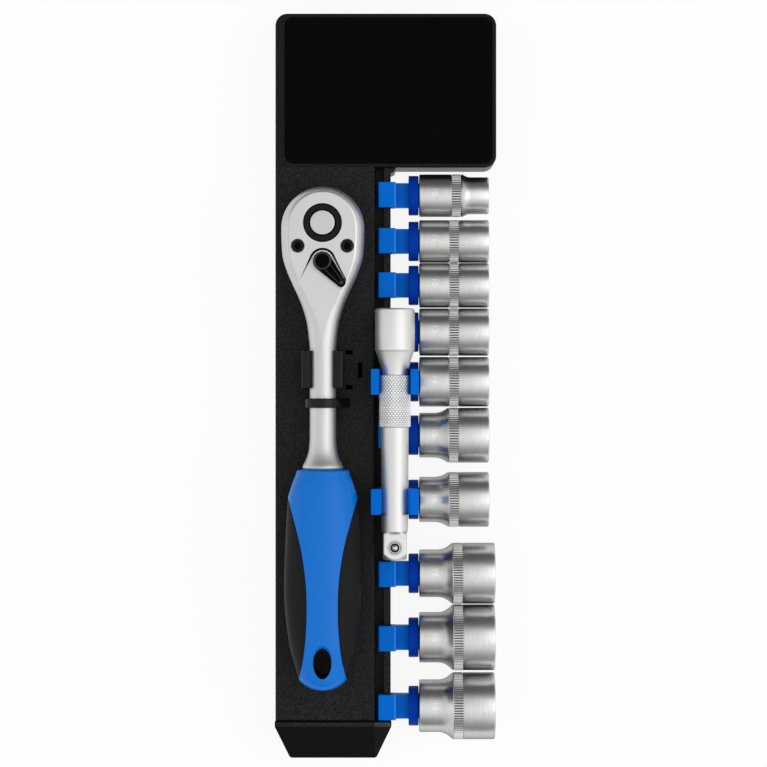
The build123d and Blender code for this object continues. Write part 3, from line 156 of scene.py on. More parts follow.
# Ratchet from head to ferrule: place, half width, half height, edge rounding
NECK = (
    (62.7, 16.5, 6.5, 4.3),
    (56.5, 16.35, 6.5, 4.3),
    (51.0, 15.85, 6.48, 4.3),
    (46.0, 14.35, 5.95, 4.3),
    (41.2, 12.38, 5.4, 4.3),
    (33.1, 8.78, 5.32, 4.6),
    (26.5, 6.7, 5.28, 4.9),
    (20.5, 5.75, 5.25, 5.2),
    (14.3, 5.25, 5.25, 5.25),
    (6.0, 5.25, 5.25, 5.25),
    (-8.0, 5.25, 5.25, 5.25),
    (-20.0, 5.25, 5.25, 5.25),
    (-23.2, 5.4, 5.4, 5.4),
    (-25.2, 5.62, 5.62, 5.62),
    (-27.3, 6.1, 6.1, 6.1),
    (-29.3, 6.85, 6.85, 6.85),
    (-31.3, 7.85, 7.85, 7.85),
    (-32.0, 8.08, 8.08, 8.08),
    (-32.7, 8.1, 8.1, 8.1),
    (-33.0, 7.8, 7.8, 7.8),
)
# What the edge rounding loses towards the end of the head, and the stretch of its edge that is polished
HEAD_SHARPER = 1.1
POLISHED_FROM, POLISHED_TO = 36.0, 71.0
# Angle at which the arms of the step leave the arc round the lever, and the lever's own angle
STEP_TANGENT = math.radians(26.7)
LEVER_ANGLE = math.radians(41.0)

# Handle: place, half width, half height
HANDLE = (
    (-33.1, 10.5, 9.6),
    (-38.5, 12.15, 10.4),
    (-43.5, 13.72, 10.85),
    (-45.2, 13.98, 10.92),
    (-62.0, 14.9, 11.1),
    (-81.0, 15.4, 11.2),
    (-101.5, 13.5, 10.6),
    (-114.5, 10.2, 9.0),
    (-116.6, 9.4, 8.5),
    (-118.4, 7.6, 7.4),
    (-119.7, 5.4, 5.9),
    (-120.4, 3.2, 4.2),
    (-120.7, 0.6, 1.6),
)
# Border between the blue core and the grips: place, half width
CORE_EDGE = (
    (-36.0, 16.2),
    (-41.5, 14.6),
    (-52.1, 11.5),
    (-64.8, 8.3),
    (-77.4, 6.5),
    (-88.5, 6.1),
    (-105.9, 7.3),
    (-116.6, 9.6),
    (-121.0, 11.0),
)
GRIP_UPPER, GRIP_LOWER = -42.6, -115.6
# Depth of a grip's seat in the core, and the share of the section's bulge that it may take
GRIP_SEAT, GRIP_SEAT_SHARE = 1.2, 0.8
HOLE_Y, HOLE_HALF_WIDTH, HOLE_HALF_LENGTH = -109.3, 3.45, 5.95
# Hanging hole: height, what it grows by; its wall lies between the third level and the sixth
HOLE_LEVELS = (
    (-12.0, 2.6), (-9.6, 0.5), (-9.1, 0.15), (-8.4, 0.0), (8.4, 0.0), (9.1, 0.15), (9.6, 0.5), (12.0, 2.6),
)
HOLE_WALL = (2, 5)

# Jaws and strap: places along the rail, half widths, and radii about the shank
JAWS_Y, STRAP_Y = 6.7, -6.7
JAW_HALF, JAW_TOP, JAW_FOOT = 8.25, 4.4, -12.0
JAW_BORE, JAW_THROAT, JAW_LEAD = 5.35, 4.4, 1.3
STRAP_INSIDE, STRAP_OUTSIDE, STRAP_FOOT = 5.9, 7.3, -17.0

# The room by direction, along the rail and across it; the two ends of the rail face darker walls
ALONG = ((-1.0, 0.25), (1.0, 0.08), (-0.84, 0.38), (-0.54, 0.88), (-0.08, 1.08), (0.42, 0.8), (0.74, 0.14))
ACROSS = ((-1.0, 1.05), (1.0, 0.6), (-0.86, 0.72), (0.0, 0.84), (0.4, 0.98), (0.68, 1.0), (0.85, 0.8))

# Stage, in metres; the hollow is the one under the rail, where the floor is painted dark as painted shade,
# with its middle and its reach along X and Y
HOLLOW_CENTRE = (-0.0243, 0.007, 0.0)
HOLLOW_REACH = (0.0185, 0.141)
CAMERA_SPOT = (-0.0008, 0.0011)
SOFTBOX_SPOT = (0.68, 0.05, 0.9)
SOFTBOX_SIZE = 0.9
LIGHT_TARGET = (0, 0, 0.02)
FLOOR_REACH = 9.0
FLOOR_DROP = 0.0002

AXES = {
    "X": Matrix(((0, 0, 1), (1, 0, 0), (0, 1, 0))),
    "Y": Matrix(((0, 1, 0), (0, 0, 1), (1, 0, 0))),
    "Z": Matrix.Identity(3),
    "section": Matrix(((1, 0, 0), (0, 0, -1), (0, 1, 0))),
}
# Degrees over which an edge is sharp, weight of flat faces, metres under which points are joined
SHARP = 36.0
FLAT_WEIGHT = 80
WELD = 2e-7
SLIVER = 1e-7
# Numbers of the inputs and of the output of a Mix node that mixes colours
MIX_SHARE, MIX_FIRST, MIX_SECOND, MIX_RESULT = 0, 6, 7, 2


class Shape:
    """Points in millimetres, faces, and the finish number of each face of one piece."""

    def __init__(self):
        self.points = []
        self.faces = []
        self.finishes = []

    def add(self, points, faces, finish=0):
        start = len(self.points)
        self.points.extend(Vector(point) for point in points)
        self.faces.extend([start + i for i in face] for face in faces)
        self.finishes.extend([finish] * len(faces))

    def rings(self, loops, close=False, caps=True, finish=0, paint=None):
        """Joins loops of points, one after the other; paint gives a finish by row and column."""
        count = len(loops[0])
        points = [point for loop in loops for point in loop]
        faces = []
        for i in range(len(loops) if close else len(loops) - 1):
            a = i * count
            b = (i + 1) % len(loops) * count
            for j in range(count):
                k = (j + 1) % count
                faces.append((a + j, a + k, b + k, b + j))
        if caps and not close:
            faces.append(tuple(reversed(range(count))))
            faces.append(tuple(range(len(points) - count, len(points))))
        self.add(points, faces, finish)
        if paint:
            first = len(self.finishes) - len(faces)
            for i in range(len(faces)):
                row = min(i // count, len(loops) - 1 if close else len(loops) - 2)
                self.finishes[first + i] = paint(row, i % count)

    def turned(self, profile, count, axis, centre=(0, 0, 0), close=False, finish=0, paint=None):
        """Turns (place along the axis, radius) pairs; a radius may depend on the angle."""
        loops = []
        for along, radius in profile:
            loop = []
            for j in range(count):
                angle = FULL_TURN * j / count
                r = radius(angle) if callable(radius) else radius
                local = Vector((r * math.cos(angle), r * math.sin(angle), along))
                loop.append(Vector(centre) + AXES[axis] @ local)
            loops.append(loop)
        self.rings(loops, close, finish=finish, paint=paint)

    def slab(self, outline, low, high, edge, axis="Z", steps=3, finish=0):
        """A plate of an anticlockwise outline, with rounded upper and lower edges."""
        levels = []
        for i in range(steps + 1):
            turn = QUARTER_TURN * i / steps
            levels.append((edge * (1 - math.sin(turn)), low + edge * (1 - math.cos(turn))))
        levels += [(inwards, low + high - z) for inwards, z in reversed(levels)]
        self.stack(outline, levels, axis, finish)

    def stack(self, outline, levels, axis="Z", finish=0):
        """An outline repeated at (inset, height) levels."""
        loops = []
        for inwards, z in levels:
            loops.append([AXES[axis] @ Vector((p.x, p.y, z)) for p in inset(outline, inwards)])
        self.rings(loops, finish=finish)


def rounded(corners, radius=0.0, steps=5):
    """Closed outline with its corners rounded; a corner's third number is its own radius."""
    most_of_side = 0.48
    smallest = 1e-4
    outline = []
    for i, corner in enumerate(corners):
        point = Vector(corner[:2])
        wanted = corner[2] if len(corner) > 2 else radius
        before = Vector(corners[i - 1][:2]) - point
        after = Vector(corners[(i + 1) % len(corners)][:2]) - point
        half = before.angle(after) / 2
        reach = min(wanted / math.tan(half), most_of_side * min(before.length, after.length))
        if reach < smallest:
            outline.append(point)
            continue
        r = reach * math.tan(half)
        middle = (before.normalized() + after.normalized()).normalized()
        centre = point + middle * (r / math.sin(half))
        start = point + before.normalized() * reach - centre
        end = point + after.normalized() * reach - centre
        first = math.atan2(start.y, start.x)
        sweep = (math.atan2(end.y, end.x) - first + math.pi) % FULL_TURN - math.pi
        for s in range(steps + 1):
            angle = first + sweep * s / steps
            outline.append(centre + Vector((math.cos(angle), math.sin(angle))) * r)
    return outline


def inset(outline, depth):
    """Moves an anticlockwise outline inwards; a very sharp corner moves less than its sides ask for."""
    least_opening = 0.4
    moved = []
    for i, point in enumerate(outline):
        before = (point - outline[i - 1]).normalized()
        after = (outline[(i + 1) % len(outline)] - point).normalized()
        left = Vector((-before.y, before.x))
        right = Vector((-after.y, after.x))
        moved.append(point + (left + right) * (depth / max(1 + left.dot(right), least_opening)))
    return moved


def spread(first, last, count):
    """Evenly spaced numbers."""
    return [first + (last - first) * i / (count - 1) for i in range(count)]


def circle(x, y, radius, count=48, start=0.0, sweep=FULL_TURN):
    """Points on a circle or an arc."""
    steps = count if sweep >= FULL_TURN else count - 1
    angles = [start + sweep * i / steps for i in range(count)]
    return [Vector((x + radius * math.cos(a), y + radius * math.sin(a))) for a in angles]


def bow(radius, first, last, count):
    """Corners along an arc about the origin, which are not rounded."""
    return [(radius * math.cos(a), radius * math.sin(a), 0) for a in spread(first, last, count)]


def hull(points):
    """Anticlockwise outline round a set of points."""
    straight = 1e-9
    points = sorted((p.x, p.y) for p in points)

    def half(row):
        chain = []
        for p in row:
            while len(chain) > 1:
                (ax, ay), (bx, by) = chain[-2:]
                if (bx - ax) * (p[1] - ay) - (by - ay) * (p[0] - ax) > straight:
                    break
                chain.pop()
            chain.append(p)
        return chain[:-1]

    return [Vector(p) for p in half(points) + half(points[::-1])]


def blend(table, y):
    """Smooth value of a table's row at a place; its rows run downwards."""
    if y >= table[0][0]:
        return table[0][1:]
    for i in range(len(table) - 1):
        above, below = table[i], table[i + 1]
        if y >= below[0]:
            before = table[max(i - 1, 0)]
            after = table[min(i + 2, len(table) - 1)]
            span = below[0] - above[0]
            t = (y - above[0]) / span
            values = []
            for k in range(1, len(above)):
                rise = below[k] - above[k]
                slope_a = (below[k] - before[k]) / (below[0] - before[0]) * span
                slope_b = (after[k] - above[k]) / (after[0] - above[0]) * span
                if (above[k] - before[k]) * rise <= 0:
                    slope_a = 0.0
                if (after[k] - below[k]) * rise <= 0:
                    slope_b = 0.0
                a = 2 * t**3 - 3 * t**2 + 1
                b = t**3 - 2 * t**2 + t
                c = t**3 - t**2
                values.append(a * above[k] + b * slope_a + (1 - a) * below[k] + c * slope_b)
            return values
    return table[-1][1:]


def square_at(side, corner):
    """Radius of a square with rounded corners, by angle."""
    flat = side / 2
    reach = flat * math.sqrt(2) - corner * (math.sqrt(2) - 1)

    def radius(angle):
        turn = (angle + math.pi / 4) % QUARTER_TURN - math.pi / 4
        return min(flat / math.cos(turn), reach)

    return radius


def hexagon_at(across):
    """Radius of a hexagon with slightly rounded corners, by angle; two flats face up and down."""
    corner_share = 1.13
    flat = across / 2
    reach = flat * corner_share

    def radius(angle):
        turn = (angle + math.pi / 6 + QUARTER_TURN) % (math.pi / 3) - math.pi / 6
        return min(flat / math.cos(turn), reach)

    return radius


def between(round_radius, square, t):
    """Section on the way from a round shaft to a square, by angle."""
    def radius(angle):
        wanted = square(angle)
        share = t if wanted < round_radius else t**0.5
        return round_radius + (wanted - round_radius) * share

    return radius


def bounded(square, limit):
    """A square turned down to a radius."""
    return lambda angle: min(square(angle), limit)


def shade(mesh, sharp):
    """Welds the points, turns the faces outwards and marks the sharp edges."""
    work = bmesh.new()
    work.from_mesh(mesh)
    bmesh.ops.remove_doubles(work, verts=work.verts, dist=WELD)
    bmesh.ops.dissolve_degenerate(work, edges=work.edges, dist=SLIVER)
    bmesh.ops.recalc_face_normals(work, faces=work.faces)
    for face in work.faces:
        face.smooth = True
    for edge in work.edges:
        edge.smooth = edge.calc_face_angle(0.0) < math.radians(sharp)
    work.to_mesh(mesh)
    work.free()


def make_mesh(name, shape, sharp=SHARP):
    """A mesh in metres."""
    mesh = bpy.data.meshes.new(name)
    mesh.from_pydata([point * MM for point in shape.points], [], shape.faces)
    mesh.polygons.foreach_set("material_index", shape.finishes)
    shade(mesh, sharp)
    return mesh


def place(
        name, shape, finishes, body, nodes=(), sharp=SHARP, at=(0, 0, 0), cutters=(), flat_caps=True):
    """Makes a piece that moves with a body and stands for the nodes."""
    mesh = make_mesh(name, shape, sharp)
    piece = bpy.data.objects.new(name, mesh)
    piece.location = Vector(at) * MM
    bpy.context.scene.collection.objects.link(piece)
    for material in finishes:
        mesh.materials.append(material)
    if cutters:
        cut(piece, cutters, sharp)
    if flat_caps:
        normals = piece.modifiers.new("flat_faces", "WEIGHTED_NORMAL")
        normals.keep_sharp = True
        normals.weight = FLAT_WEIGHT
    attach(piece, body)
    if nodes:
        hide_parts(*nodes)


def cut(piece, cutters, sharp):
    """Cuts other shapes out of a piece."""
    tools = []
    for i, shape in enumerate(cutters):
        mesh = make_mesh(f"{piece.name}_tool_{i}", shape)
        tool = bpy.data.objects.new(mesh.name, mesh)
        tool.location = piece.location
        bpy.context.scene.collection.objects.link(tool)
        step = piece.modifiers.new(mesh.name, "BOOLEAN")
        step.operation = "DIFFERENCE"
        step.solver = "EXACT"
        step.object = tool
        tools.append(tool)
    bpy.context.view_layer.update()
    ready = piece.evaluated_get(bpy.context.evaluated_depsgraph_get())
    made = bpy.data.meshes.new_from_object(ready)
    if len(made.polygons) < len(piece.data.polygons) / 2:
        raise RuntimeError(f"{piece.name} lost its faces when it was cut")
    piece.modifiers.clear()
    old = piece.data
    piece.data = made
    made.name = piece.name
    bpy.data.meshes.remove(old)
    shade(made, sharp)
    for tool in tools:
        mesh = tool.data
        bpy.data.objects.remove(tool)
        bpy.data.meshes.remove(mesh)


def feed(tree, socket, value):
    """Joins a socket to another node's output, or sets it to a value."""
    if isinstance(value, bpy.types.NodeSocket):
        tree.links.new(value, socket)
    else:
        socket.default_value = value


def add_node(tree, kind, **values):
    """A node with some of its sockets fed."""
    node = tree.nodes.new(kind)
    for name, value in values.items():
        feed(tree, node.inputs[name.replace("_", " ")], value)
    return node


def calculate(tree, operation, *values):
    """Output of a Math node."""
    node = tree.nodes.new("ShaderNodeMath")
    node.operation = operation
    for socket, value in zip(node.inputs, values):
        feed(tree, socket, value)
    return node.outputs["Value"]


def mix_colours(tree, blend_type, share, first, second):
    """Output of a Mix node for colours."""
    node = tree.nodes.new("ShaderNodeMix")
    node.data_type = "RGBA"
    node.blend_type = blend_type
    for number, value in ((MIX_SHARE, share), (MIX_FIRST, first), (MIX_SECOND, second)):
        feed(tree, node.inputs[number], value)
    return node.outputs[MIX_RESULT]


def toned(colour, share):
    """A colour made darker or lighter."""
    return [c * share for c in colour]


def finish(
        name, colour, rough, grain, bump, stretch=(1, 1, 1), metal=0.0, vary=0.12, specular=0.5, soft=0.2,
        cloud=0.4, around=None, **extra):
    """A material with grain in its colour, roughness and surface; grain and bump in millimetres."""
    material = bpy.data.materials.get(name)
    if material:
        return material
    material = bpy.data.materials.new(name)
    material.use_nodes = True
    tree = material.node_tree
    shader = tree.nodes["Principled BSDF"]
    places = tree.nodes.new("ShaderNodeTexCoord").outputs["Object"]
    mapping = add_node(tree, "ShaderNodeMapping", Vector=places, Scale=stretch)
    fine = add_node(
        tree, "ShaderNodeTexNoise", Vector=mapping.outputs["Vector"], Scale=1 / (grain * MM), Detail=4.0,
        Roughness=0.6).outputs["Fac"]
    broad = add_node(tree, "ShaderNodeTexNoise", Vector=places, Scale=45.0, Detail=3.0).outputs["Fac"]
    clouded = calculate(tree, "MULTIPLY", broad, cloud)
    both = calculate(tree, "MULTIPLY_ADD", fine, 1 - cloud, clouded)
    ramp = add_node(tree, "ShaderNodeValToRGB", Fac=both)
    darkest, lightest = ramp.color_ramp.elements
    darkest.position = 0.5 - soft
    lightest.position = 0.5 + soft
    darkest.color = toned(colour, 1 - vary) + [1.0]
    lightest.color = [min(c, 1.0) for c in toned(colour, 1 + vary)] + [1.0]
    dull = add_node(
        tree, "ShaderNodeMapRange", Value=both, From_Min=0.25, From_Max=0.75, To_Min=rough[0],
        To_Max=rough[1])
    relief = add_node(tree, "ShaderNodeBump", Strength=1.0, Distance=bump * MM, Height=fine)
    tree.links.new(ramp.outputs["Color"], shader.inputs["Base Color"])
    tree.links.new(dull.outputs["Result"], shader.inputs["Roughness"])
    tree.links.new(relief.outputs["Normal"], shader.inputs["Normal"])
    shader.inputs["Metallic"].default_value = metal
    shader.inputs["Specular IOR Level"].default_value = specular
    for key, value in extra.items():
        shader.inputs[key.replace("_", " ")].default_value = value
    if around:
        tangent = tree.nodes.new("ShaderNodeTangent")
        tangent.direction_type = "RADIAL"
        tangent.axis = around
        tree.links.new(tangent.outputs["Tangent"], shader.inputs["Tangent"])
    return material


def steel(name, colour, rough, grain=0.25, bump=0.006, vary=0.05, **extra):
    return finish(name, colour, rough, grain, bump, metal=1.0, vary=vary, **extra)


def inner_steel():
    return steel("plain_steel", (0.5, 0.5, 0.49), rough=(0.3, 0.42))


def rail_finish(colour):
    """Grained plastic, with painted shade that darkens the top of the header panel."""
    header_painted_shade = (0.45, 0.45, 0.45, 1.0)
    material = finish(
        "grained_black_plastic", colour, rough=(0.3, 0.46), grain=0.48, bump=0.075, vary=0.97,
        specular=0.12, soft=0.05, cloud=0.05)
    tree = material.node_tree
    base = tree.nodes["Principled BSDF"].inputs["Base Color"]
    grained = base.links[0].from_socket
    spot = tree.nodes["Texture Coordinate"].outputs["Object"]
    split = add_node(tree, "ShaderNodeSeparateXYZ", Vector=spot).outputs
    # Painted shade: the grained colour is darkened on the top of the header panel
    beyond = calculate(tree, "GREATER_THAN", split["Y"], HEADER_Y * MM)
    above = calculate(tree, "GREATER_THAN", split["Z"], HEADER_EDGE_Z * MM)
    painted_shade_mask = calculate(tree, "MULTIPLY", beyond, above)
    tree.links.new(mix_colours(tree, "MULTIPLY", painted_shade_mask, grained, header_painted_shade), base)
    return material


def dress(node, material):
    """Gives a kept CAD piece its finish."""
    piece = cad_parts[node]
    piece.data.materials.clear()
    piece.data.materials.append(material)


def colour_setting(name, description, default):
    return bpy.props.FloatVectorProperty(
        name=name, description=description, subtype="COLOR", default=default, min=0, max=1)


def length_setting(name, description, default, low, high):
    return bpy.props.FloatProperty(
        name=name, description=description, default=default, min=low, max=high, unit="LENGTH")


class SetColours(bpy.types.PropertyGroup):
    """Colours of the set."""

    rail: colour_setting("Rail", "Grained plastic of the rail and its cap", (0.0085, 0.0085, 0.0087))
    label: colour_setting("Label", "Smooth panel in the header", (0.0014, 0.0014, 0.0015))
    strap: colour_setting("Jaws and strap", "Plastic of the ratchet's holder", (0.003, 0.0029, 0.0028))
    clip: colour_setting("Clips", "Blue plastic of the clips", (0.0, 0.147, 0.645))
    handle: colour_setting("Handle", "Blue plastic of the handle", (0.0, 0.165, 0.64))
    grip: colour_setting("Grips", "Soft plastic of the grips", (0.006, 0.006, 0.0062))
    socket: colour_setting("Sockets", "Turned steel of the sockets", (0.61, 0.61, 0.6))
    bar: colour_setting("Extension bar", "Satin steel of the bar", (0.73, 0.73, 0.72))
    ratchet: colour_setting("Ratchet", "Blasted steel of the ratchet", (0.6, 0.6, 0.59))
    black: colour_setting("Black fittings", "Hub, screws and lever", (0.0035, 0.0035, 0.0033))


class SetSizes(bpy.types.PropertyGroup):
    """Sizes of the details."""

    tooth: length_setting(
        "Band pitch", "Distance between the grooves of a socket's band", 0.00105, 0.0005, 0.003)
    tooth_depth: length_setting(
        "Band depth", "Depth of the grooves of a socket's band", 0.0004, 0.0001, 0.0008)
    knurl: length_setting(
        "Knurl pitch", "Distance between the bar's knurls round it", 0.00145, 0.0006, 0.003)
    knurl_depth: length_setting("Knurl depth", "Depth of the bar's knurl", 0.0004, 0.0001, 0.0008)
    number: length_setting("Size numbers", "Height of the numbers on the sockets", 0.0036, 0.001, 0.006)


class StageSettings(bpy.types.PropertyGroup):
    """Camera, light and floor."""

    camera_height: length_setting(
        "Camera height", "Height of the camera above the part's back", 0.98, 0.3, 3.0)
    lens: bpy.props.FloatProperty(
        name="Lens", description="Focal length", default=112.0, min=20, max=300, unit="CAMERA")
    floor: colour_setting("Floor", "Colour of the floor", (0.97, 0.97, 0.97))
    whiteness: bpy.props.FloatProperty(
        name="Floor whiteness", description="Share of the floor that looks white of itself",
        default=0.9, min=0, max=1, subtype="FACTOR")
    surroundings: bpy.props.FloatProperty(
        name="Surroundings", description="Strength of the room's light", default=1.32, min=0, max=2)
    softbox: bpy.props.FloatProperty(
        name="Softbox", description="Power of the large soft light", default=1.7, min=0, max=200,
        unit="POWER")


class SET_OT_rail(bpy.types.Operator):
    """Finishes the rail and its label, and builds the end cap"""

    bl_idname = "socket_set.rail"
    bl_label = "Rail"

    def execute(self, context):
        colours = context.scene.set_colours
        dress("rail_body", rail_finish(colours.rail))
        label = finish(
            "smooth_label", colours.label, rough=(0.3, 0.36), grain=0.8, bump=0.002, vary=0.15,
            specular=0.022)
        dress("header_label", label)
        self.cap(colours.rail)
        return {"FINISHED"}

    def cap(self, colour):
        """A strip along the rail's end, then a slope, both turned down a little under the lip."""
        outline = rounded(CAP_CORNERS)
        loops = []
        for inwards, z in ((0.2, 0.0), (0.0, 0.2)):
            loops.append([Vector((p.x, p.y, z)) for p in inset(outline, inwards)])
        for inwards, lower in ((0.0, 0.4), (0.12, 0.12), (0.4, 0.0)):
            loops.append([Vector((p.x, p.y, self.height(p) - lower)) for p in inset(outline, inwards)])
        shape = Shape()
        shape.rings(loops, caps=False)
        shape.add(loops[0], [range(len(outline) - 1, -1, -1)])
        self.top(shape, outline, loops[-1])
        shape.slab(rounded(CAP_PLUG, 0.8), 0.3, 17.2, edge=0.4)
        hollow = Shape()
        hollow.stack(rounded(CAP_HOLLOW, 0.8), [(0, -1.0), (0, 14.5)])
        # Painted light and shade: each field of the cap's top gets its own share of the rail's colour
        finishes = [
            finish(
                name, toned(colour, share), rough=(0.3, 0.42), grain=0.5, bump=0.02, vary=0.6,
                specular=0.08, soft=0.07, cloud=0.08)
            for name, share in CAP_PAINTED_LIGHT_AND_SHADE
        ]
        place("rail_cap", shape, finishes, "rail", ["end_cap"], sharp=20.0, cutters=[hollow])

    def height(self, point):
        """Height of the cap's top at a point."""
        down = max(CAP_SHOULDER - point.y, 0.0) / (CAP_SHOULDER - CAP_FOOT) * CAP_FOOT_DROP
        return CAP_TOP - down - max(point.x - CAP_FOLD, 0.0) * CAP_FOLD_DROP

    def top(self, shape, outline, rim):
        """The four fields of the cap's top, in the order of their finishes, which paint their light and
        shade; they meet at the fold.
        """
        def nearest(*spot):
            return min(range(len(outline)), key=lambda i: (outline[i] - Vector(spot)).length)

        left = nearest(CAP_LEFT, CAP_SHOULDER)
        corner = nearest(CAP_FOOT_RIGHT, CAP_FOOT)
        right = nearest(CAP_RIGHT, CAP_SHOULDER)
        fold = nearest(CAP_FOLD, CAP_UPPER)
        middle = len(rim)
        points = rim + [Vector((CAP_FOLD, CAP_SHOULDER, CAP_TOP))]
        fields = (
            [middle, *range(left, corner + 1)],
            [middle, *range(corner, right + 1)],
            [middle, fold, *range(left + 1)],
            [middle, *range(right, fold + 1)],
        )
        for number, field in enumerate(fields):
            shape.add(points, [field], finish=number)


class SET_OT_clips(bpy.types.Operator):
    """Builds the ten socket clips and the two bar clips"""

    bl_idname = "socket_set.clips"
    bl_label = "Clips"

    def execute(self, context):
        colour = context.scene.set_colours.clip
        # Painted shade: a darker copy of the clip's blue for the collar
        collar_painted_shade_colour = [c * share for c, share in zip(colour, (1.0, 0.26, 0.55))]
        # Painted highlight: a lighter copy of the clip's blue for the shoe's right edge
        shoe_edge_painted_highlight_colour = [0.02 + c for c in toned(colour, 1.25)]
        blue = finish(
            "clip_blue_plastic", colour, rough=(0.36, 0.46), grain=0.5, bump=0.012, vary=0.06,
            specular=0.035)
        collar_painted_shade = finish("clip_blue_painted_shade", collar_painted_shade_colour, rough=(0.4, 0.5), grain=0.5, bump=0.01, specular=0.04)
        pale = finish(
            "clip_edge_painted_highlight", shoe_edge_painted_highlight_colour, rough=(0.3, 0.4), grain=0.5, bump=0.01, vary=0.06, specular=0.2)
        for size, y, *_ in SOCKETS:
            body = "rail" if size in FIXED_CLIPS else f"carrier_{size}"
            place(
                f"socket_clip_{size}", self.socket_clip(), [blue, collar_painted_shade, pale], body,
                [f"clip_{size}"], at=(0, y, 0))
        for name, y, bar_radius, body, node in BAR_CLIPS:
            place(
                name, self.bar_clip(bar_radius), [blue], body, [node], at=(BAR_X, y, BAR_Z))
        return {"FINISHED"}

    def socket_clip(self):
        """A shoe on the lip, a neck, a round collar and a square stud."""
        centre = (0, 0, SOCKET_Z)
        shape = Shape()
        shape.slab(rounded(SHOE), -SHOE_HALF, SHOE_HALF, edge=0.35, axis="section")
        # The shoe's right edge carries the painted highlight
        shape.slab(rounded(SHOE_EDGE), -SHOE_EDGE_HALF, SHOE_EDGE_HALF, edge=0.1, axis="section", finish=2)
        shape.slab(rounded(CLIP_NECK), -CLIP_NECK_HALF, CLIP_NECK_HALF, edge=0.3, axis="section")
        # The collar is the clip's blue with painted shade
        shape.turned(COLLAR, 64, "X", centre, finish=1)
        sides = [(x, square_at(side, STUD_CORNER)) for x, side in STUD]
        shape.turned([(STUD[0][0], 0), *sides, (STUD[-1][0], 0)], 64, "X", centre)
        return shape

    def bar_clip(self, bar_radius):
        """A C-clip on a shoe, open upwards, with flared lips."""
        inner = bar_radius + BAR_CLIP_GAP
        outer = inner + BAR_CLIP_WALL
        throat = bar_radius - BAR_CLIP_HOLD
        rise = math.sqrt(inner**2 - throat**2)
        top = math.sqrt(inner**2 - (bar_radius - TAB_INSET) ** 2) + TAB_RISE
        opening = math.atan2(rise, throat)
        foot_left = FOOT_X - BAR_X - FOOT_HALF
        foot_right = FOOT_X - BAR_X + FOOT_HALF
        right_start = math.asin(-math.sqrt(max(outer**2 - foot_right**2, 0)) / outer)
        right_end = math.asin(rise / 2 / outer)
        left_end = math.pi + math.asin(min(math.sqrt(max(outer**2 - foot_left**2, 0)) / outer, 1))
        tab = [
            (BAR_CLIP_HALF, top - TAB_THICKNESS), (BAR_CLIP_HALF, top - 0.2),
            (max(6.1, throat + 0.5), top), (throat + 0.05, rise + 0.6), (throat, rise),
        ]
        lip = [(x, z, 0.25) for x, z in tab]
        outline = [(foot_left, FOOT_Z - BAR_Z, 0.2), (foot_right, FOOT_Z - BAR_Z, 0.2)]
        outline += bow(outer, right_start, right_end, 9) + lip
        outline += bow(inner, opening, -math.pi - opening, 25)[1:-1]
        outline += [(-x, z, edge) for x, z, edge in reversed(lip)]
        outline += bow(outer, math.pi - right_end, left_end, 9)
        shape = Shape()
        shape.slab(rounded(outline), -SHOE_HALF, SHOE_HALF, edge=0.3, axis="section")
        return shape


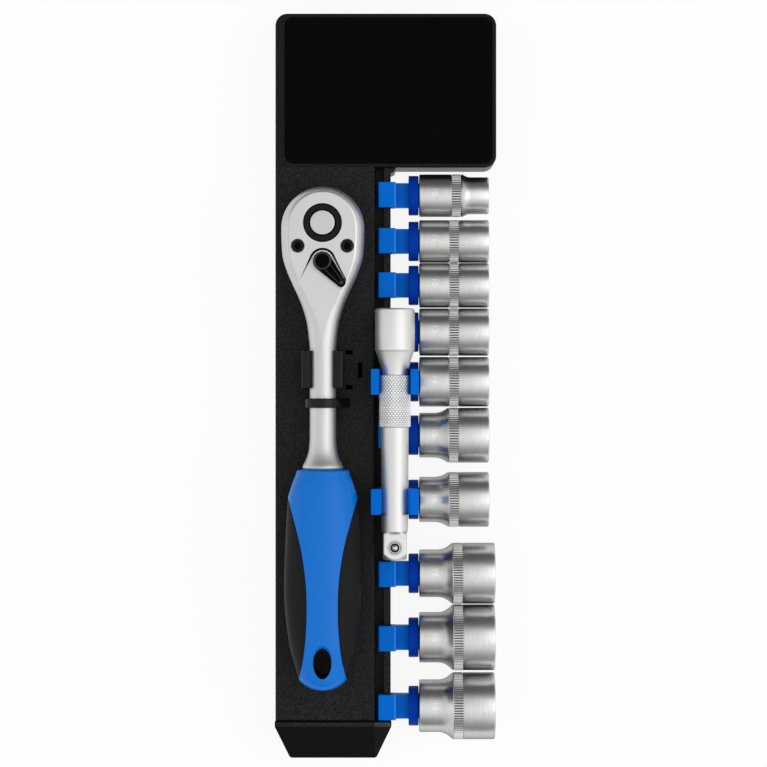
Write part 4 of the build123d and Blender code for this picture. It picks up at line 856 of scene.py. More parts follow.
class SET_OT_sockets(bpy.types.Operator):
    """Builds the ten sockets, with their serrated bands and size numbers"""

    bl_idname = "socket_set.sockets"
    bl_label = "Sockets"

    def execute(self, context):
        colour = context.scene.set_colours.socket
        sizes = context.scene.set_sizes
        turned = steel(
            "turned_steel", colour, rough=(0.25, 0.36), grain=0.2, bump=0.014, stretch=(1, 0.05, 0.05),
            vary=0.2, around="X", Anisotropic=0.45, Anisotropic_Rotation=0.25,
            Specular_Tint=(0.35, 0.35, 0.35, 1.0))
        # Painted highlight: a lighter copy of the steel for the raised size numbers
        number_painted_highlight = steel("number_painted_highlight_steel", toned(colour, 1.25), rough=(0.3, 0.4))
        # Painted shade: a dark copy of the steel for the deepest steps of the band's grooves
        band_groove_painted_shade = steel("band_groove_painted_shade_steel", toned(colour, 0.22), rough=(0.4, 0.5))
        for size, y, hex_end, drive_end, length, band in SOCKETS:
            shape = Shape()
            self.body(shape, sizes, size, hex_end / 2, drive_end / 2, length, band)
            self.number(shape, sizes, str(size), drive_end / 2)
            place(
                f"hexagon_socket_{size}", shape, [turned, number_painted_highlight, band_groove_painted_shade], f"loose_socket_{size}",
                [f"socket_{size}"], at=(SOCKET_X, y, SOCKET_Z), flat_caps=False, sharp=30.0)
        return {"FINISHED"}

    def body(self, shape, sizes, size, r_hex, r_drive, length, start):
        """Drive end, band and hexagon end, with the bores, as one turned outline."""
        crest = max(r_hex, r_drive)
        teeth = 3 * round(FULL_TURN * crest / (sizes.tooth / MM) / 3)
        count = len(TOOTH) * teeth
        depth = sizes.tooth_depth / MM
        root = crest - depth - 0.05
        end = start + BAND_LENGTH
        edge = 0.45

        def toothed(angle):
            step = round(angle * count / FULL_TURN) % len(TOOTH)
            return crest - depth * TOOTH[step]

        square = square_at(SQUARE_HOLE, 0.3)
        hexagon = hexagon_at(size + HEXAGON_PLAY)
        profile = [(SQUARE_DEPTH, square), (0.5, square)]
        profile += [(0.0, square_at(10.7, 0.4)), (0.0, r_drive - edge)]
        for a in spread(0.35, QUARTER_TURN, 4):
            profile.append((edge * (1 - math.cos(a)), r_drive - edge * (1 - math.sin(a))))
        if r_drive < r_hex:
            for t in spread(0.0, 1.0, 14):
                flare = 1.15 * t**2.5 - 0.15 * t**7
                profile.append((start - 6.5 + 6.3 * t, r_drive + (crest - r_drive) * flare))
        profile += [(start - 0.15, crest), (start, crest - 0.1), (start + 0.04, root), (start + 0.2, root)]
        band = len(profile)
        profile += [(start + 0.22, toothed), (end - 0.22, toothed)]
        profile += [(end - 0.2, root), (end - 0.04, root), (end, crest - 0.12), (end + 0.3, crest)]
        if r_hex < r_drive:
            for t in spread(0.0, 1.0, 9):
                profile.append((end + 0.6 + 3.2 * t, r_hex + (crest - r_hex) * (1 - t) ** 2))
        mouth = min((size + HEXAGON_PLAY) / 2 * 1.16 + 0.25, r_hex - 0.75)
        profile += [(length - 0.6, r_hex), (length - 0.5, r_hex - 0.03), (length - 0.06, r_hex - 0.24)]
        profile += [(length, r_hex - 0.4), (length, mouth), (length - 0.9, hexagon)]
        profile += [(length - HEXAGON_DEPTH, hexagon), (length - 14.0, THROUGH_HOLE)]
        profile += [(SQUARE_DEPTH, THROUGH_HOLE)]

        # The deepest steps of each groove of the band take the painted shade
        def paint(row, column):
            return 2 if row == band and column % len(TOOTH) in (3, 4) else 0

        shape.turned(profile, count, "X", close=True, paint=paint)

    def number(self, shape, sizes, text, radius):
        """The size, raised a little, reading round the drive end, in a lighter steel that paints a
        highlight.
        """
        raised, sunk = 0.13, -0.1
        along, narrowed, turned_by = 6.0, 0.9, 0.12
        longest_edge = 0.4
        curve = bpy.data.curves.new("number", "FONT")
        curve.body = text
        curve.align_x = "CENTER"
        curve.align_y = "CENTER"
        curve.size = sizes.number / MM
        holder = bpy.data.objects.new("number", curve)
        bpy.context.scene.collection.objects.link(holder)
        bpy.context.view_layer.update()
        ready = holder.evaluated_get(bpy.context.evaluated_depsgraph_get())
        flat = bpy.data.meshes.new_from_object(ready)
        bpy.data.objects.remove(holder)
        bpy.data.curves.remove(curve)
        work = bmesh.new()
        work.from_mesh(flat)
        bpy.data.meshes.remove(flat)
        bmesh.ops.triangulate(work, faces=work.faces)
        long_edges = [edge for edge in work.edges if edge.calc_length() > longest_edge]
        bmesh.ops.subdivide_edges(work, edges=long_edges, cuts=3)
        bmesh.ops.triangulate(work, faces=work.faces)
        grown = bmesh.ops.extrude_face_region(work, geom=work.faces[:])
        top = {v for v in grown["geom"] if isinstance(v, bmesh.types.BMVert)}
        work.verts.index_update()
        points = []
        for vert in work.verts:
            r = radius + (raised if vert in top else sunk)
            angle = QUARTER_TURN - turned_by + vert.co.x / radius
            points.append((along + vert.co.y * narrowed, r * math.cos(angle), r * math.sin(angle)))
        # The extrusion lists its side faces in no fixed order
        faces = sorted([v.index for v in face.verts] for face in work.faces)
        shape.add(points, faces, finish=1)
        work.free()


class SET_OT_extension(bpy.types.Operator):
    """Builds the extension bar, with its knurl, its square and the seat of its ball"""

    bl_idname = "socket_set.extension"
    bl_label = "Extension Bar"

    def execute(self, context):
        colour = context.scene.set_colours.bar
        satin = steel("satin_steel", colour, rough=(0.46, 0.56), grain=0.2, stretch=(1, 0.2, 1))
        # Painted shade: near-black metal for the walls of the ball's pocket and the innermost ring of its
        # seat
        dark = finish(
            "ball_recess_painted_shade", (0.01, 0.01, 0.01), rough=(0.5, 0.6), grain=0.3, bump=0.004, metal=1.0)
        shadowed = steel("shadowed_steel", toned(colour, 0.55), rough=(0.4, 0.5))
        # Painted highlight: a lighter copy of the steel for the knurl's crests
        crest = steel("knurl_crest_painted_highlight", toned(colour, 1.33), rough=(0.36, 0.46))
        pocket = Shape()
        pocket.turned([(4.05, 0), (4.05, 2.95), (5.2, 2.95), (5.2, 0)], 64, "Z", (0, BALL_Y, 0), finish=1)
        place(
            "extension", self.bar(context.scene.set_sizes), [satin, dark, shadowed, crest], "extension",
            ["extension_bar"], at=(BAR_X, 0, BAR_Z), flat_caps=False, sharp=40.0,
            cutters=[pocket])
        place("ball_seat", self.ball_seat(), [satin, dark], "extension", at=(BAR_X, 0, BAR_Z))
        ball = steel("ball_steel", (0.55, 0.55, 0.55), rough=(0.06, 0.1), grain=0.3, bump=0.001)
        dress("extension_ball", ball)
        dress("extension_spring", inner_steel())
        return {"FINISHED"}

    def bar(self, sizes):
        """Head with its square hole, cone, knurl, shaft and square end, as one turned outline."""
        starts = round(FULL_TURN * KNURL_RADIUS / (sizes.knurl / MM))
        count = starts * KNURL_STEPS
        depth = sizes.knurl_depth / MM

        def sunk(angle, y):
            turn = angle * starts / FULL_TURN
            deepest = max(abs(2 * ((turn + side * y / KNURL_LENGTH) % 1.0) - 1) for side in (-1, 1))
            return max(0.0, (deepest - KNURL_CREST) / (1 - KNURL_CREST))

        def knurled(y):
            return lambda angle: KNURL_RADIUS - depth * sunk(angle, y)

        female = square_at(SQUARE_HOLE, 0.3)
        male = square_at(BAR_SQUARE, 0.9)
        edge = 0.9
        profile = [(19.5, 0), (19.5, female), (30.5, female), (31.0, square_at(10.9, 0.5)), (31.0, 6.9)]
        for a in spread(1.3, 0, 5):
            profile.append((31.0 - edge * (1 - math.sin(a)), BAR_HEAD_RADIUS - edge * (1 - math.cos(a))))
        profile += [(14.6, BAR_HEAD_RADIUS), (14.2, 7.86), (13.95, 7.6)]
        for t in spread(0.05, 1.0, 10):
            profile.append((13.95 - 9.3 * t, 7.6 - 2.5 * (1.35 * t - 0.35 * t * t)))
        profile += [(4.6, 5.1), (4.5, 5.8)]
        knurl_rows = spread(4.2, -16.1, 170)
        knurl = range(len(profile), len(profile) + len(knurl_rows) - 1)
        profile += [(y, knurled(y)) for y in knurl_rows]
        profile += [(-16.4, 5.7), (-16.45, 5.55), (-17.2, 5.54), (-36.0, 5.42), (-52.0, 5.3)]
        profile += [(-57.6, SHAFT_RADIUS)]
        drops = (0.0, 0.2, 0.4, 0.6, 0.8, 1.0)
        drop = range(len(profile), len(profile) + len(drops) - 1)
        profile += [(-57.7 - 1.1 * t, between(SHAFT_RADIUS, male, t)) for t in drops]
        profile += [(-66.4 - 2.6 * t, bounded(male, 6.5 - 2.0 * t)) for t in spread(0.0, 1.0, 12)]
        profile += [(-69.0, 0)]

        # Painted shade in the knurl's deep grooves and where the shaft drops to the square, painted
        # highlight on the knurl's crests
        def paint(row, column):
            angle = FULL_TURN * (column + 0.5) / count
            if row in knurl:
                return 2 if sunk(angle, knurl_rows[row - knurl.start]) > KNURL_SHADOW else 3
            return 2 if row in drop and male(angle) < SHAFT_RADIUS - 0.02 else 0

        shape = Shape()
        shape.turned(profile, count, "Y", paint=paint)
        return shape

    def ball_seat(self):
        """Three thin rings round the ball; the innermost carries painted shade."""
        rings = ((4.74, 2.45, 2.85, 0), (4.7, 1.85, 2.2, 0), (4.55, 1.3, 1.85, 1))
        shape = Shape()
        for top, inside, outside, number in rings:
            section = [(4.0, outside), (top - 0.05, outside), (top, outside - 0.06)]
            section += [(top, inside + 0.06), (top - 0.05, inside), (4.0, inside)]
            shape.turned(section, 64, "Z", (0, BALL_Y, 0), close=True, finish=number)
        return shape


class SET_OT_ratchet(bpy.types.Operator):
    """Builds the ratchet's head and shank, with its hub, button, screws and lever"""

    bl_idname = "socket_set.ratchet"
    bl_label = "Ratchet"

    def execute(self, context):
        colours = context.scene.set_colours
        blasted = steel(
            "blasted_steel", colours.ratchet, rough=(0.4, 0.52), grain=0.32, bump=0.012, vary=0.07)
        polished = steel("polished_edge", colours.ratchet, rough=(0.14, 0.2))
        black = finish(
            "blackened_steel", colours.black, rough=(0.38, 0.5), grain=0.3, bump=0.006, vary=0.5,
            specular=0.15)
        # The lever's own matt black, also used as painted shade in the step's line, the hub ring's chamfers
        # and the screws' recesses
        matt_black_and_painted_shade = finish(
            "lever_black_and_painted_shade", toned(colours.black, 0.25), rough=(0.3, 0.4), grain=0.4, bump=0.006,
            vary=0.3, specular=0.025)
        # Painted highlight: a lighter copy of the black for the lever's edges
        lever_edge_painted_highlight = finish(
            "lever_edge_painted_highlight_black", toned(colours.black, 6), rough=(0.3, 0.4), grain=0.4, bump=0.006, vary=0.3,
            specular=0.4)
        satin = steel("button_satin", toned(colours.bar, 0.73), rough=(0.34, 0.42), grain=0.15, bump=0.004)
        place(
            "ratchet_head", self.body(), [blasted, matt_black_and_painted_shade, polished], "ratchet",
            ["ratchet_body"], sharp=32.0, cutters=self.cutters())
        place(
            "drive_hub", self.hub(), [black, blasted, matt_black_and_painted_shade], "gear", ["drive_gear"],
            at=(RATCHET_X, DRIVE_Y, 0))
        place(
            "quick_release", self.button(), [satin], "button", ["release_button"],
            at=(RATCHET_X, DRIVE_Y, 0))
        place(
            "screws", self.screws(), [black, matt_black_and_painted_shade], "ratchet", ["cover_screws"],
            at=(RATCHET_X, SCREW_Y, 0))
        place(
            "reversing_lever", self.lever(), [matt_black_and_painted_shade, lever_edge_painted_highlight], "lever", ["reverse_lever"],
            at=(RATCHET_X, LEVER_Y, 0))
        dress("back_cover", blasted)
        for node in ("pawl", "tang_ball", "lever_ball", "lever_spring", "button_spring"):
            dress(node, inner_steel())
        return {"FINISHED"}

    def body(self):
        """Head, neck and shank: one section after the other, up the right side and down the left one."""
        rows = []
        _, head_wide, head_high, head_edge = NECK[0]
        for share in spread(1.0, 0.0, 25):
            angle = QUARTER_TURN * share
            edge = head_edge - HEAD_SHARPER * math.sin(angle) ** 2
            rows.append((angle, HEAD_Y, head_wide, head_high, edge))
        for y in spread(62.0, -33.0, 150):
            rows.append((0.0, y, *blend(NECK, y)))
        loops = []
        sides = [(row, 1) for row in reversed(rows)] + [(row, -1) for row in rows[1:]]
        for (angle, y, wide, high, edge), side in sides:
            loops.append([
                (RATCHET_X + side * reach * math.cos(angle), y + reach * math.sin(angle), RATCHET_Z + z)
                for reach, z in self.section(wide, high, edge)
            ])
        width = len(loops[0])
        faces = []
        edges = []
        for i, loop in enumerate(loops[:-1]):
            x, y, _ = loop[0]
            polished = x > RATCHET_X and POLISHED_FROM < y < POLISHED_TO
            for k in range(width - 1):
                a = i * width + k
                group = edges if polished and k in (0, width - 2) else faces
                group.append((a, a + 1, a + width + 1, a + width))
        last = len(loops) - 1
        for i in range(last // 2):
            j = last - i
            for k in (0, width - 1):
                faces.append((i * width + k, (i + 1) * width + k, (j - 1) * width + k, j * width + k))
        for k in range(width - 1):
            faces.append((k, last * width + k, last * width + k + 1, k + 1))
        shape = Shape()
        shape.add([point for loop in loops for point in loop], faces)
        shape.faces += edges
        shape.finishes += [2] * len(edges)
        return shape

    def section(self, wide, high, edge):
        """One side of a section, from below to above; a narrow border leads to the flats of the head."""
        steps = 8
        full_from, border_turn, border_drop, border_width = 4, 0.28, 0.06, 0.35
        flatness = min((wide - edge) / full_from, 1.0)
        most = QUARTER_TURN - border_turn * flatness
        rim = high - border_drop * flatness
        points = []
        for k in range(-steps, steps + 1):
            turn = most * k / steps
            points.append((wide - edge * (1 - math.cos(turn)), rim * math.sin(turn) / math.sin(most)))
        inner = max(points[0][0] - border_width, 0.0)
        return [(inner, -high)] + points + [(inner, high)]

    def cutters(self):
        """Hub hole, screw seats, cover seat, and the step round the lever with its line, whose faces carry
        painted shadow.
        """
        hub = Shape()
        hole = [(27.0, 0), (27.0, 7.62), (38.4, 7.62), (38.5, 7.7), (39.5, 8.7), (39.5, 0)]
        hub.turned(hole, 96, "Z", (RATCHET_X, DRIVE_Y, 0))
        screws = Shape()
        seat = [(36.9, 0), (36.9, 2.62), (38.3, 2.62), (38.5, 2.8), (39.5, 3.8), (39.5, 0)]
        ear = 4.3
        around = circle(RATCHET_X, DRIVE_Y, 11.4, 64) + circle(RATCHET_X, LEVER_Y, ear, 32)
        for x in (RATCHET_X - SCREW_X, RATCHET_X + SCREW_X):
            screws.turned(seat, 48, "Z", (x, SCREW_Y, 0))
            around += circle(x, SCREW_Y, ear, 32)
        cover = Shape()
        cover.stack(hull(around), [(0, 24.5), (0, 27.5)])
        step = Shape()
        outline = circle(RATCHET_X, LEVER_Y, 4.8, 24, STEP_TANGENT, math.pi - 2 * STEP_TANGENT)
        for x, y in ((-16.1, 28.0), (-16.1, -10.0), (16.1, -10.0), (16.1, 28.0)):
            outline.append(Vector((RATCHET_X + x, y)))
        step.stack(outline, [(0, 37.3), (0, 37.9), (-0.45, 38.5), (-1.2, 39.5)])
        line = Shape()
        # Painted shadow: the line's faces take the matt black
        line.rings([[Vector((p.x, p.y, z)) for p in self.step_line()] for z in (36.7, 39.5)], finish=1)
        return [hub, screws, cover, step, line]

    def step_line(self):
        """A thin line along the step, cut as a shallow groove and darkened with painted shadow: widest
        round the lever, pointed at the ends of its arms.
        """
        centre = Vector((RATCHET_X, LEVER_Y))
        arc = circle(0, 0, 1, 25, STEP_TANGENT, math.pi - 2 * STEP_TANGENT)
        outer = [centre + p * 5.12 for p in arc]
        inner = [centre + p * 4.42 for p in arc]
        left = Vector((RATCHET_X - 9.3, 41.6))
        right = [Vector((RATCHET_X + 9.3 + shift, 41.7 + shift / 2)) for shift in (-0.22, 0.22)]
        return outer + [left] + inner[::-1] + right

    def hub(self):
        """Ring round the button, drum inside the head, and the square tang below it."""
        shape = Shape()
        ring = [(33.0, 5.0), (38.3, 5.0), (38.85, 5.3), (38.9, 5.36)]
        ring += [(38.9, 7.14), (38.85, 7.2), (38.2, 7.5), (33.0, 7.5)]
        # Painted shade: the ring's walls and chamfers take the matt black, its flat the blackened steel
        shape.turned(ring, 96, "Z", close=True, paint=lambda row, column: 0 if row in (2, 3, 4) else 2)
        drum = [(27.8, 2.25), (27.8, 9.3), (33.2, 9.3), (33.2, 5.05), (32.7, 5.05), (32.7, 2.25)]
        shape.turned(drum, 96, "Z", close=True)
        tang = square_at(9.5, 0.6)
        lower = [(27.0, 0), (27.0, 2.25), (27.9, 2.25), (27.9, 6.95), (25.5, 6.95), (25.2, 6.7)]
        lower += [(25.2, tang), (15.4, tang), (14.5, square_at(8.0, 0.8)), (14.5, 0)]
        shape.turned(lower, 96, "Z", finish=1)
        return shape

    def button(self):
        """Stem and cap, hollow from below for the spring."""
        shape = Shape()
        profile = [(30.0, 0), (30.0, 1.9), (39.52, 1.9), (39.52, 4.6), (37.0, 4.6)]
        profile += [(37.0, 4.75), (37.15, 4.85), (39.45, 4.85), (39.65, 4.8), (39.76, 4.68)]
        profile += [(39.8, 4.5), (39.8, 3.2), (39.8, 1.6), (39.8, 0)]
        shape.turned(profile, 72, "Z")
        return shape

    def screws(self):
        """Two screws with hexagon keys."""
        shape = Shape()
        key = hexagon_at(2.5)
        screw = [(32.0, 0), (32.0, 1.45), (36.95, 1.45)]
        screw += [(36.95, 2.4), (38.1, 2.45), (38.35, 2.35), (38.45, 2.1)]
        socket = [(38.45, 1.6), (38.25, key), (37.4, key), (37.2, 0)]

        # Painted shade: the walls and floor of the key's recess and the head's side in its seat take the
        # matt black
        def paint(row, column):
            return 1 if row > len(screw) or row == 3 else 0

        for x in (-SCREW_X, SCREW_X):
            shape.turned(screw + socket, 48, "Z", (x, 0, 0), paint=paint)
        return shape

    def lever(self):
        """A flat arm with a ridge, a boss with a raised rim, and a small dimple near the tip; the ridge's
        slope, the rim and the dimple carry painted highlight.
        """
        towards = Vector((math.sin(LEVER_ANGLE), -math.cos(LEVER_ANGLE)))
        tip = towards * 11.2
        start = towards * 3.0
        shape = Shape()
        arm = hull(circle(0, 0, 3.75, 64) + circle(tip.x, tip.y, 1.8, 32))
        levels = [(0.3, 37.5), (0.0, 37.8), (0.0, 39.3), (0.2, 39.7), (0.55, 39.95), (0.6, 39.95)]
        shape.stack(arm, levels)
        ridge = hull(circle(start.x, start.y, 1.7, 32) + circle(tip.x, tip.y, 0.95, 24))
        shape.stack(ridge, [(0.0, 39.6), (0.0, 40.2)])
        shape.stack(ridge, [(0.0, 40.15), (0.3, 40.55)], finish=1)
        shape.stack(ridge, [(0.3, 40.5), (0.32, 40.58)])
        boss = [(32.0, 0), (32.0, 2.7), (37.4, 2.7), (37.5, 3.5), (40.9, 3.5), (40.9, 0)]
        shape.turned(boss, 64, "Z")
        rim = [(40.8, 3.5), (41.1, 3.45), (41.45, 3.15), (41.5, 3.0), (41.45, 2.85), (40.8, 2.75)]
        shape.turned(rim, 64, "Z", close=True, finish=1)
        dimple = [(40.3, 0), (40.3, 0.55), (40.62, 0.55), (40.72, 0.3), (40.72, 0)]
        shape.turned(dimple, 24, "Z", (tip.x, tip.y, 0), finish=1)
        return shape


class SET_OT_handle(bpy.types.Operator):
    """Builds the handle's blue core and its two soft grips"""

    bl_idname = "socket_set.handle"
    bl_label = "Handle"

    def execute(self, context):
        colours = context.scene.set_colours
        blue = finish(
            "handle_plastic", colours.handle, rough=(0.24, 0.3), grain=0.6, bump=0.008, vary=0.05,
            specular=0.19)
        soft = finish(
            "soft_grip", colours.grip, rough=(0.5, 0.62), grain=0.3, bump=0.02, vary=0.25, specular=0.15)
        place(
            "handle_centre", self.core(), [blue, soft], "ratchet", ["handle_core"],
            cutters=[self.hole()], sharp=40.0)
        for side, name in ((-1, "left"), (1, "right")):
            place(
                f"{name}_soft_grip", self.grip(side), [soft], "ratchet", [f"{name}_grip"],
                sharp=50.0)
        return {"FINISHED"}

    def border(self, y, wide):
        """Angle on the section at which the core meets the grip."""
        half = blend(CORE_EDGE, y)[0]
        return math.acos(min(half / wide, 1.0))

    def seat(self, wide, meet):
        """Depth of the grip's seat in the core."""
        return min(GRIP_SEAT, wide * (1 - math.cos(meet)) * GRIP_SEAT_SHARE)

    def point(self, y, wide, high, angle, sunk):
        x = RATCHET_X + (wide - sunk) * math.cos(angle)
        return Vector((x, y, RATCHET_Z + (high - sunk) * math.sin(angle)))

    def core(self):
        """Sections with a sunk seat on each side; the first three round the upper end."""
        places = [(-33.1, 0.9), (-33.2, 0.45), (-33.5, 0.12)]
        places += [(y, 0.0) for y in spread(-34.0, -114.5, 110) + spread(-114.9, -120.7, 24)]
        loops = []
        for y, drawn in places:
            wide, high = blend(HANDLE, y)
            meet = self.border(y, wide)
            depth = self.seat(wide, meet)
            loop = []
            for first, last, sunk in (
                (-meet, meet, depth),
                (meet, math.pi - meet, 0.0),
                (math.pi - meet, math.pi + meet, depth),
                (math.pi + meet, FULL_TURN - meet, 0.0),
            ):
                loop += [self.point(y, wide, high, a, sunk + drawn) for a in spread(first, last, 22)]
            loops.append(loop)
        shape = Shape()
        shape.rings(loops)
        return shape

    def hole(self):
        """The hanging hole, flared at both ends; its wall is as dark as the grips."""
        around = circle(0, 0, 1, 64)
        loops = []
        for z, grow in HOLE_LEVELS:
            loops.append([
                Vector((
                    RATCHET_X + (HOLE_HALF_WIDTH + grow) * p.x,
                    HOLE_Y + (HOLE_HALF_LENGTH + grow) * p.y,
                    RATCHET_Z + z,
                ))
                for p in around
            ])
        hole = Shape()
        hole.rings(loops)
        wall = range(HOLE_WALL[0] * len(around), HOLE_WALL[1] * len(around))
        hole.finishes = [1 if i in wall else 0 for i in range(len(hole.faces))]
        return hole

    def grip(self, side):
        """A soft panel in its seat, with a rolled border."""
        steps = 120
        least_angle = 0.004
        roll_depth, roll_width = 0.55, 0.9
        below_skin, into_core, most_of_seat = 0.02, 0.03, 0.9
        loops = []
        for i in range(steps + 1):
            y = GRIP_UPPER + (GRIP_LOWER - GRIP_UPPER) * (1 - math.cos(math.pi * i / steps)) / 2
            wide, high = blend(HANDLE, y)
            meet = max(self.border(y, wide), least_angle)
            depth = self.seat(wide, meet)
            arc = meet * (wide + high) / 2
            outside = []
            for a in spread(-meet, meet, 41):
                gap = (1 - abs(a) / meet) * arc
                roll = roll_depth * max(0.0, 1 - gap / roll_width) ** 2
                outside.append((a, min(roll + below_skin, depth * most_of_seat)))
            inside = [(a, depth + into_core) for a in spread(meet, -meet, 9)]
            loop = []
            for a, sunk in outside + inside:
                loop.append(self.point(y, wide, high, a if side > 0 else math.pi - a, sunk))
            loops.append(loop)
        shape = Shape()
        shape.rings(loops)
        return shape


class SET_OT_holder(bpy.types.Operator):
    """Builds the jaws and the strap that hold the ratchet"""

    bl_idname = "socket_set.holder"
    bl_label = "Ratchet Holder"

    def execute(self, context):
        black = finish(
            "holder_plastic", context.scene.set_colours.strap, rough=(0.14, 0.22), grain=0.3, bump=0.004,
            vary=0.25, specular=0.2)
        place(
            "shank_jaws", self.jaws(), [black], "rail", ["ratchet_clip"],
            at=(RATCHET_X, JAWS_Y, RATCHET_Z))
        place(
            "strap", self.strap(), [black], "strap", ["retaining_strap"],
            at=(RATCHET_X, STRAP_Y, RATCHET_Z))
        return {"FINISHED"}

    def jaws(self):
        """Two jaws with a bore and a narrower throat, on two pegs."""
        rise = math.sqrt(JAW_BORE**2 - JAW_THROAT**2)
        opening = math.atan2(rise, JAW_THROAT)
        outline = [(-JAW_HALF, JAW_FOOT, 0.3), (JAW_HALF, JAW_FOOT, 0.3), (JAW_HALF, JAW_TOP, 0.9)]
        outline += [(JAW_THROAT + JAW_LEAD, JAW_TOP, 0.4), (JAW_THROAT, rise, 0.2)]
        outline += bow(JAW_BORE, opening, -math.pi - opening, 33)[1:-1]
        outline += [(-JAW_THROAT, rise, 0.2), (-JAW_THROAT - JAW_LEAD, JAW_TOP, 0.4)]
        outline += [(-JAW_HALF, JAW_TOP, 0.9)]
        shape = Shape()
        shape.slab(rounded(outline), -7.5, 7.5, edge=0.4, axis="section")
        peg = [(-14.0, 0), (-14.0, 1.2), (-13.7, 1.5), (-11.8, 1.5), (-11.8, 0)]
        for y in (-3.8, 3.8):
            shape.turned(peg, 32, "Z", (0, y, 0))
        return shape

    def strap(self):
        """A bow over the shank, with one foot below it and the other set off to the right."""
        outline = [(-STRAP_OUTSIDE, STRAP_FOOT, 0.2), (-STRAP_INSIDE, STRAP_FOOT, 0.2)]
        outline += bow(STRAP_INSIDE, math.pi, 0, 25)
        outline += [(9.0, -10.5, 0.5), (9.0, STRAP_FOOT, 0.2), (10.4, STRAP_FOOT, 0.2), (10.4, -10.5, 0.8)]
        outline += bow(STRAP_OUTSIDE, 0, math.pi, 25)
        shape = Shape()
        shape.slab(rounded(outline), -1.85, 1.85, edge=0.4, axis="section")
        return shape


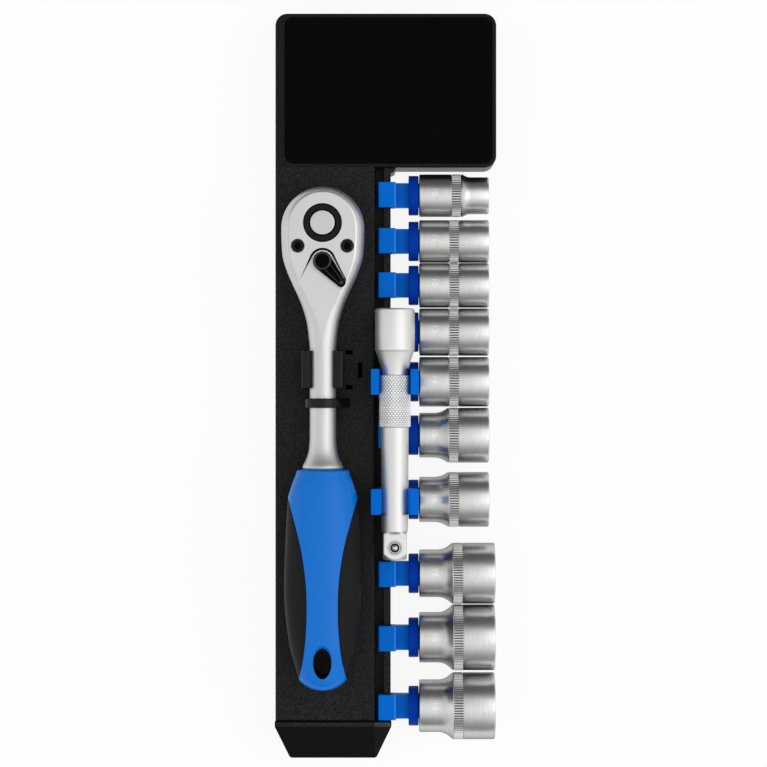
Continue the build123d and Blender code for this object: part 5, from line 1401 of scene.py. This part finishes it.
class SET_OT_stage(bpy.types.Operator):
    """Sets the camera, the floor, the soft light and the surroundings"""

    bl_idname = "socket_set.stage"
    bl_label = "Stage"

    def execute(self, context):
        settings = context.scene.stage_settings
        camera = bpy.data.objects.new("camera", bpy.data.cameras.new("camera"))
        context.scene.collection.objects.link(camera)
        camera.location = (*CAMERA_SPOT, settings.camera_height)
        camera.data.lens = settings.lens
        camera.data.sensor_width = 36.0
        context.scene.camera = camera
        context.scene.view_settings.view_transform = "Standard"
        self.floor(context, settings)
        self.lamp(context, settings)
        self.room(context, settings)
        return {"FINISHED"}

    def floor(self, context, settings):
        """A floor that looks white of itself and keeps the shadow, with painted shade that makes it dark in
        the hollow of the rail.
        """
        hollow_painted_shade = (0.002, 0.002, 0.002, 1.0)
        mesh = bpy.data.meshes.new("floor")
        corners = [(x * FLOOR_REACH, y * FLOOR_REACH, 0) for x, y in ((-1, -1), (1, -1), (1, 1), (-1, 1))]
        mesh.from_pydata(corners, [], [(0, 1, 2, 3)])
        floor = bpy.data.objects.new("floor", mesh)
        floor.location.z = -FLOOR_DROP
        context.scene.collection.objects.link(floor)
        material = bpy.data.materials.new("pale_floor")
        material.use_nodes = True
        tree = material.node_tree
        shader = tree.nodes["Principled BSDF"]
        shader.inputs["Roughness"].default_value = 0.9
        shader.inputs["Specular IOR Level"].default_value = 0.0
        open_floor = self.outside(tree)
        # Painted shade: the floor is near black inside the hollow of the rail
        tone = mix_colours(tree, "MIX", open_floor, hollow_painted_shade, (*settings.floor, 1.0))
        tree.links.new(tone, shader.inputs["Base Color"])
        rays = tree.nodes.new("ShaderNodeLightPath").outputs
        seen = rays["Is Camera Ray"]
        for other in ("Is Glossy Ray", "Is Transmission Ray"):
            seen = calculate(tree, "MAXIMUM", seen, rays[other])
        seen = calculate(tree, "MULTIPLY", seen, open_floor)
        white_share = calculate(tree, "MULTIPLY", seen, settings.whiteness)
        white = tree.nodes.new("ShaderNodeEmission")
        mix = add_node(tree, "ShaderNodeMixShader", Fac=white_share)
        tree.links.new(shader.outputs["BSDF"], mix.inputs[1])
        tree.links.new(white.outputs["Emission"], mix.inputs[2])
        tree.links.new(mix.outputs["Shader"], tree.nodes["Material Output"].inputs["Surface"])
        mesh.materials.append(material)

    def outside(self, tree):
        """One on the open floor, zero inside the hollow of the rail."""
        away = tree.nodes.new("ShaderNodeVectorMath")
        away.operation = "SUBTRACT"
        feed(tree, away.inputs[0], tree.nodes.new("ShaderNodeNewGeometry").outputs["Position"])
        feed(tree, away.inputs[1], HOLLOW_CENTRE)
        size = tree.nodes.new("ShaderNodeVectorMath")
        size.operation = "ABSOLUTE"
        feed(tree, size.inputs[0], away.outputs["Vector"])
        split = add_node(tree, "ShaderNodeSeparateXYZ", Vector=size.outputs["Vector"]).outputs
        beyond = []
        for axis, reach in zip("XY", HOLLOW_REACH):
            beyond.append(calculate(tree, "GREATER_THAN", split[axis], reach))
        return calculate(tree, "MAXIMUM", *beyond)

    def lamp(self, context, settings):
        light = bpy.data.lights.new("softbox", "AREA")
        light.shape = "SQUARE"
        light.size = SOFTBOX_SIZE
        light.energy = settings.softbox
        lamp = bpy.data.objects.new("softbox", light)
        lamp.location = SOFTBOX_SPOT
        aim = Vector(LIGHT_TARGET) - Vector(SOFTBOX_SPOT)
        lamp.rotation_euler = aim.to_track_quat("-Z", "Y").to_euler()
        context.scene.collection.objects.link(lamp)

    def room(self, context, settings):
        """A pale room that darkens towards the two ends of the rail."""
        world = bpy.data.worlds.new("room")
        context.scene.world = world
        world.use_nodes = True
        tree = world.node_tree
        back = tree.nodes["Background"]
        direction = tree.nodes.new("ShaderNodeTexCoord").outputs["Generated"]
        split = add_node(tree, "ShaderNodeSeparateXYZ", Vector=direction).outputs
        along = self.ramp(tree, split["Y"], ALONG)
        across = self.ramp(tree, split["X"], ACROSS)
        tree.links.new(mix_colours(tree, "MULTIPLY", 1.0, along, across), back.inputs["Color"])
        back.inputs["Strength"].default_value = settings.surroundings

    def ramp(self, tree, direction, stops):
        """Grey by direction, from -1 to 1."""
        share = calculate(tree, "MULTIPLY_ADD", direction, 0.5, 0.5)
        ramp = add_node(tree, "ShaderNodeValToRGB", Fac=share)
        elements = ramp.color_ramp.elements
        for i, (spot, grey) in enumerate(stops):
            position = spot / 2 + 0.5
            stop = elements[i] if i < 2 else elements.new(position)
            stop.position = position
            stop.color = (grey, grey, grey, 1.0)
        return ramp.outputs["Color"]


class SET_PT_panel(bpy.types.Panel):
    """Lists the settings and the steps"""

    bl_idname = "SET_PT_panel"
    bl_label = "Socket Set"
    bl_space_type = "VIEW_3D"
    bl_region_type = "UI"
    bl_category = "Socket Set"

    def draw(self, context):
        scene = context.scene
        for group in (scene.set_colours, scene.set_sizes, scene.stage_settings):
            box = self.layout.box()
            for name in group.__annotations__:
                box.prop(group, name)
        for operator in OPERATORS:
            self.layout.operator(operator.bl_idname)


GROUPS = (("set_colours", SetColours), ("set_sizes", SetSizes), ("stage_settings", StageSettings))
OPERATORS = (
    SET_OT_stage, SET_OT_rail, SET_OT_clips, SET_OT_sockets,
    SET_OT_extension, SET_OT_ratchet, SET_OT_handle, SET_OT_holder,
)


def register():
    for name, group in GROUPS:
        bpy.utils.register_class(group)
        setattr(bpy.types.Scene, name, bpy.props.PointerProperty(type=group))
    for item in (*OPERATORS, SET_PT_panel):
        bpy.utils.register_class(item)


def unregister():
    for item in (SET_PT_panel, *reversed(OPERATORS)):
        bpy.utils.unregister_class(item)
    for name, group in reversed(GROUPS):
        delattr(bpy.types.Scene, name)
        bpy.utils.unregister_class(group)


def main():
    register()
    for step in ("stage", "rail", "clips", "sockets", "extension", "ratchet", "handle", "holder"):
        getattr(bpy.ops.socket_set, step)()


if __name__ == "__main__":
    main()
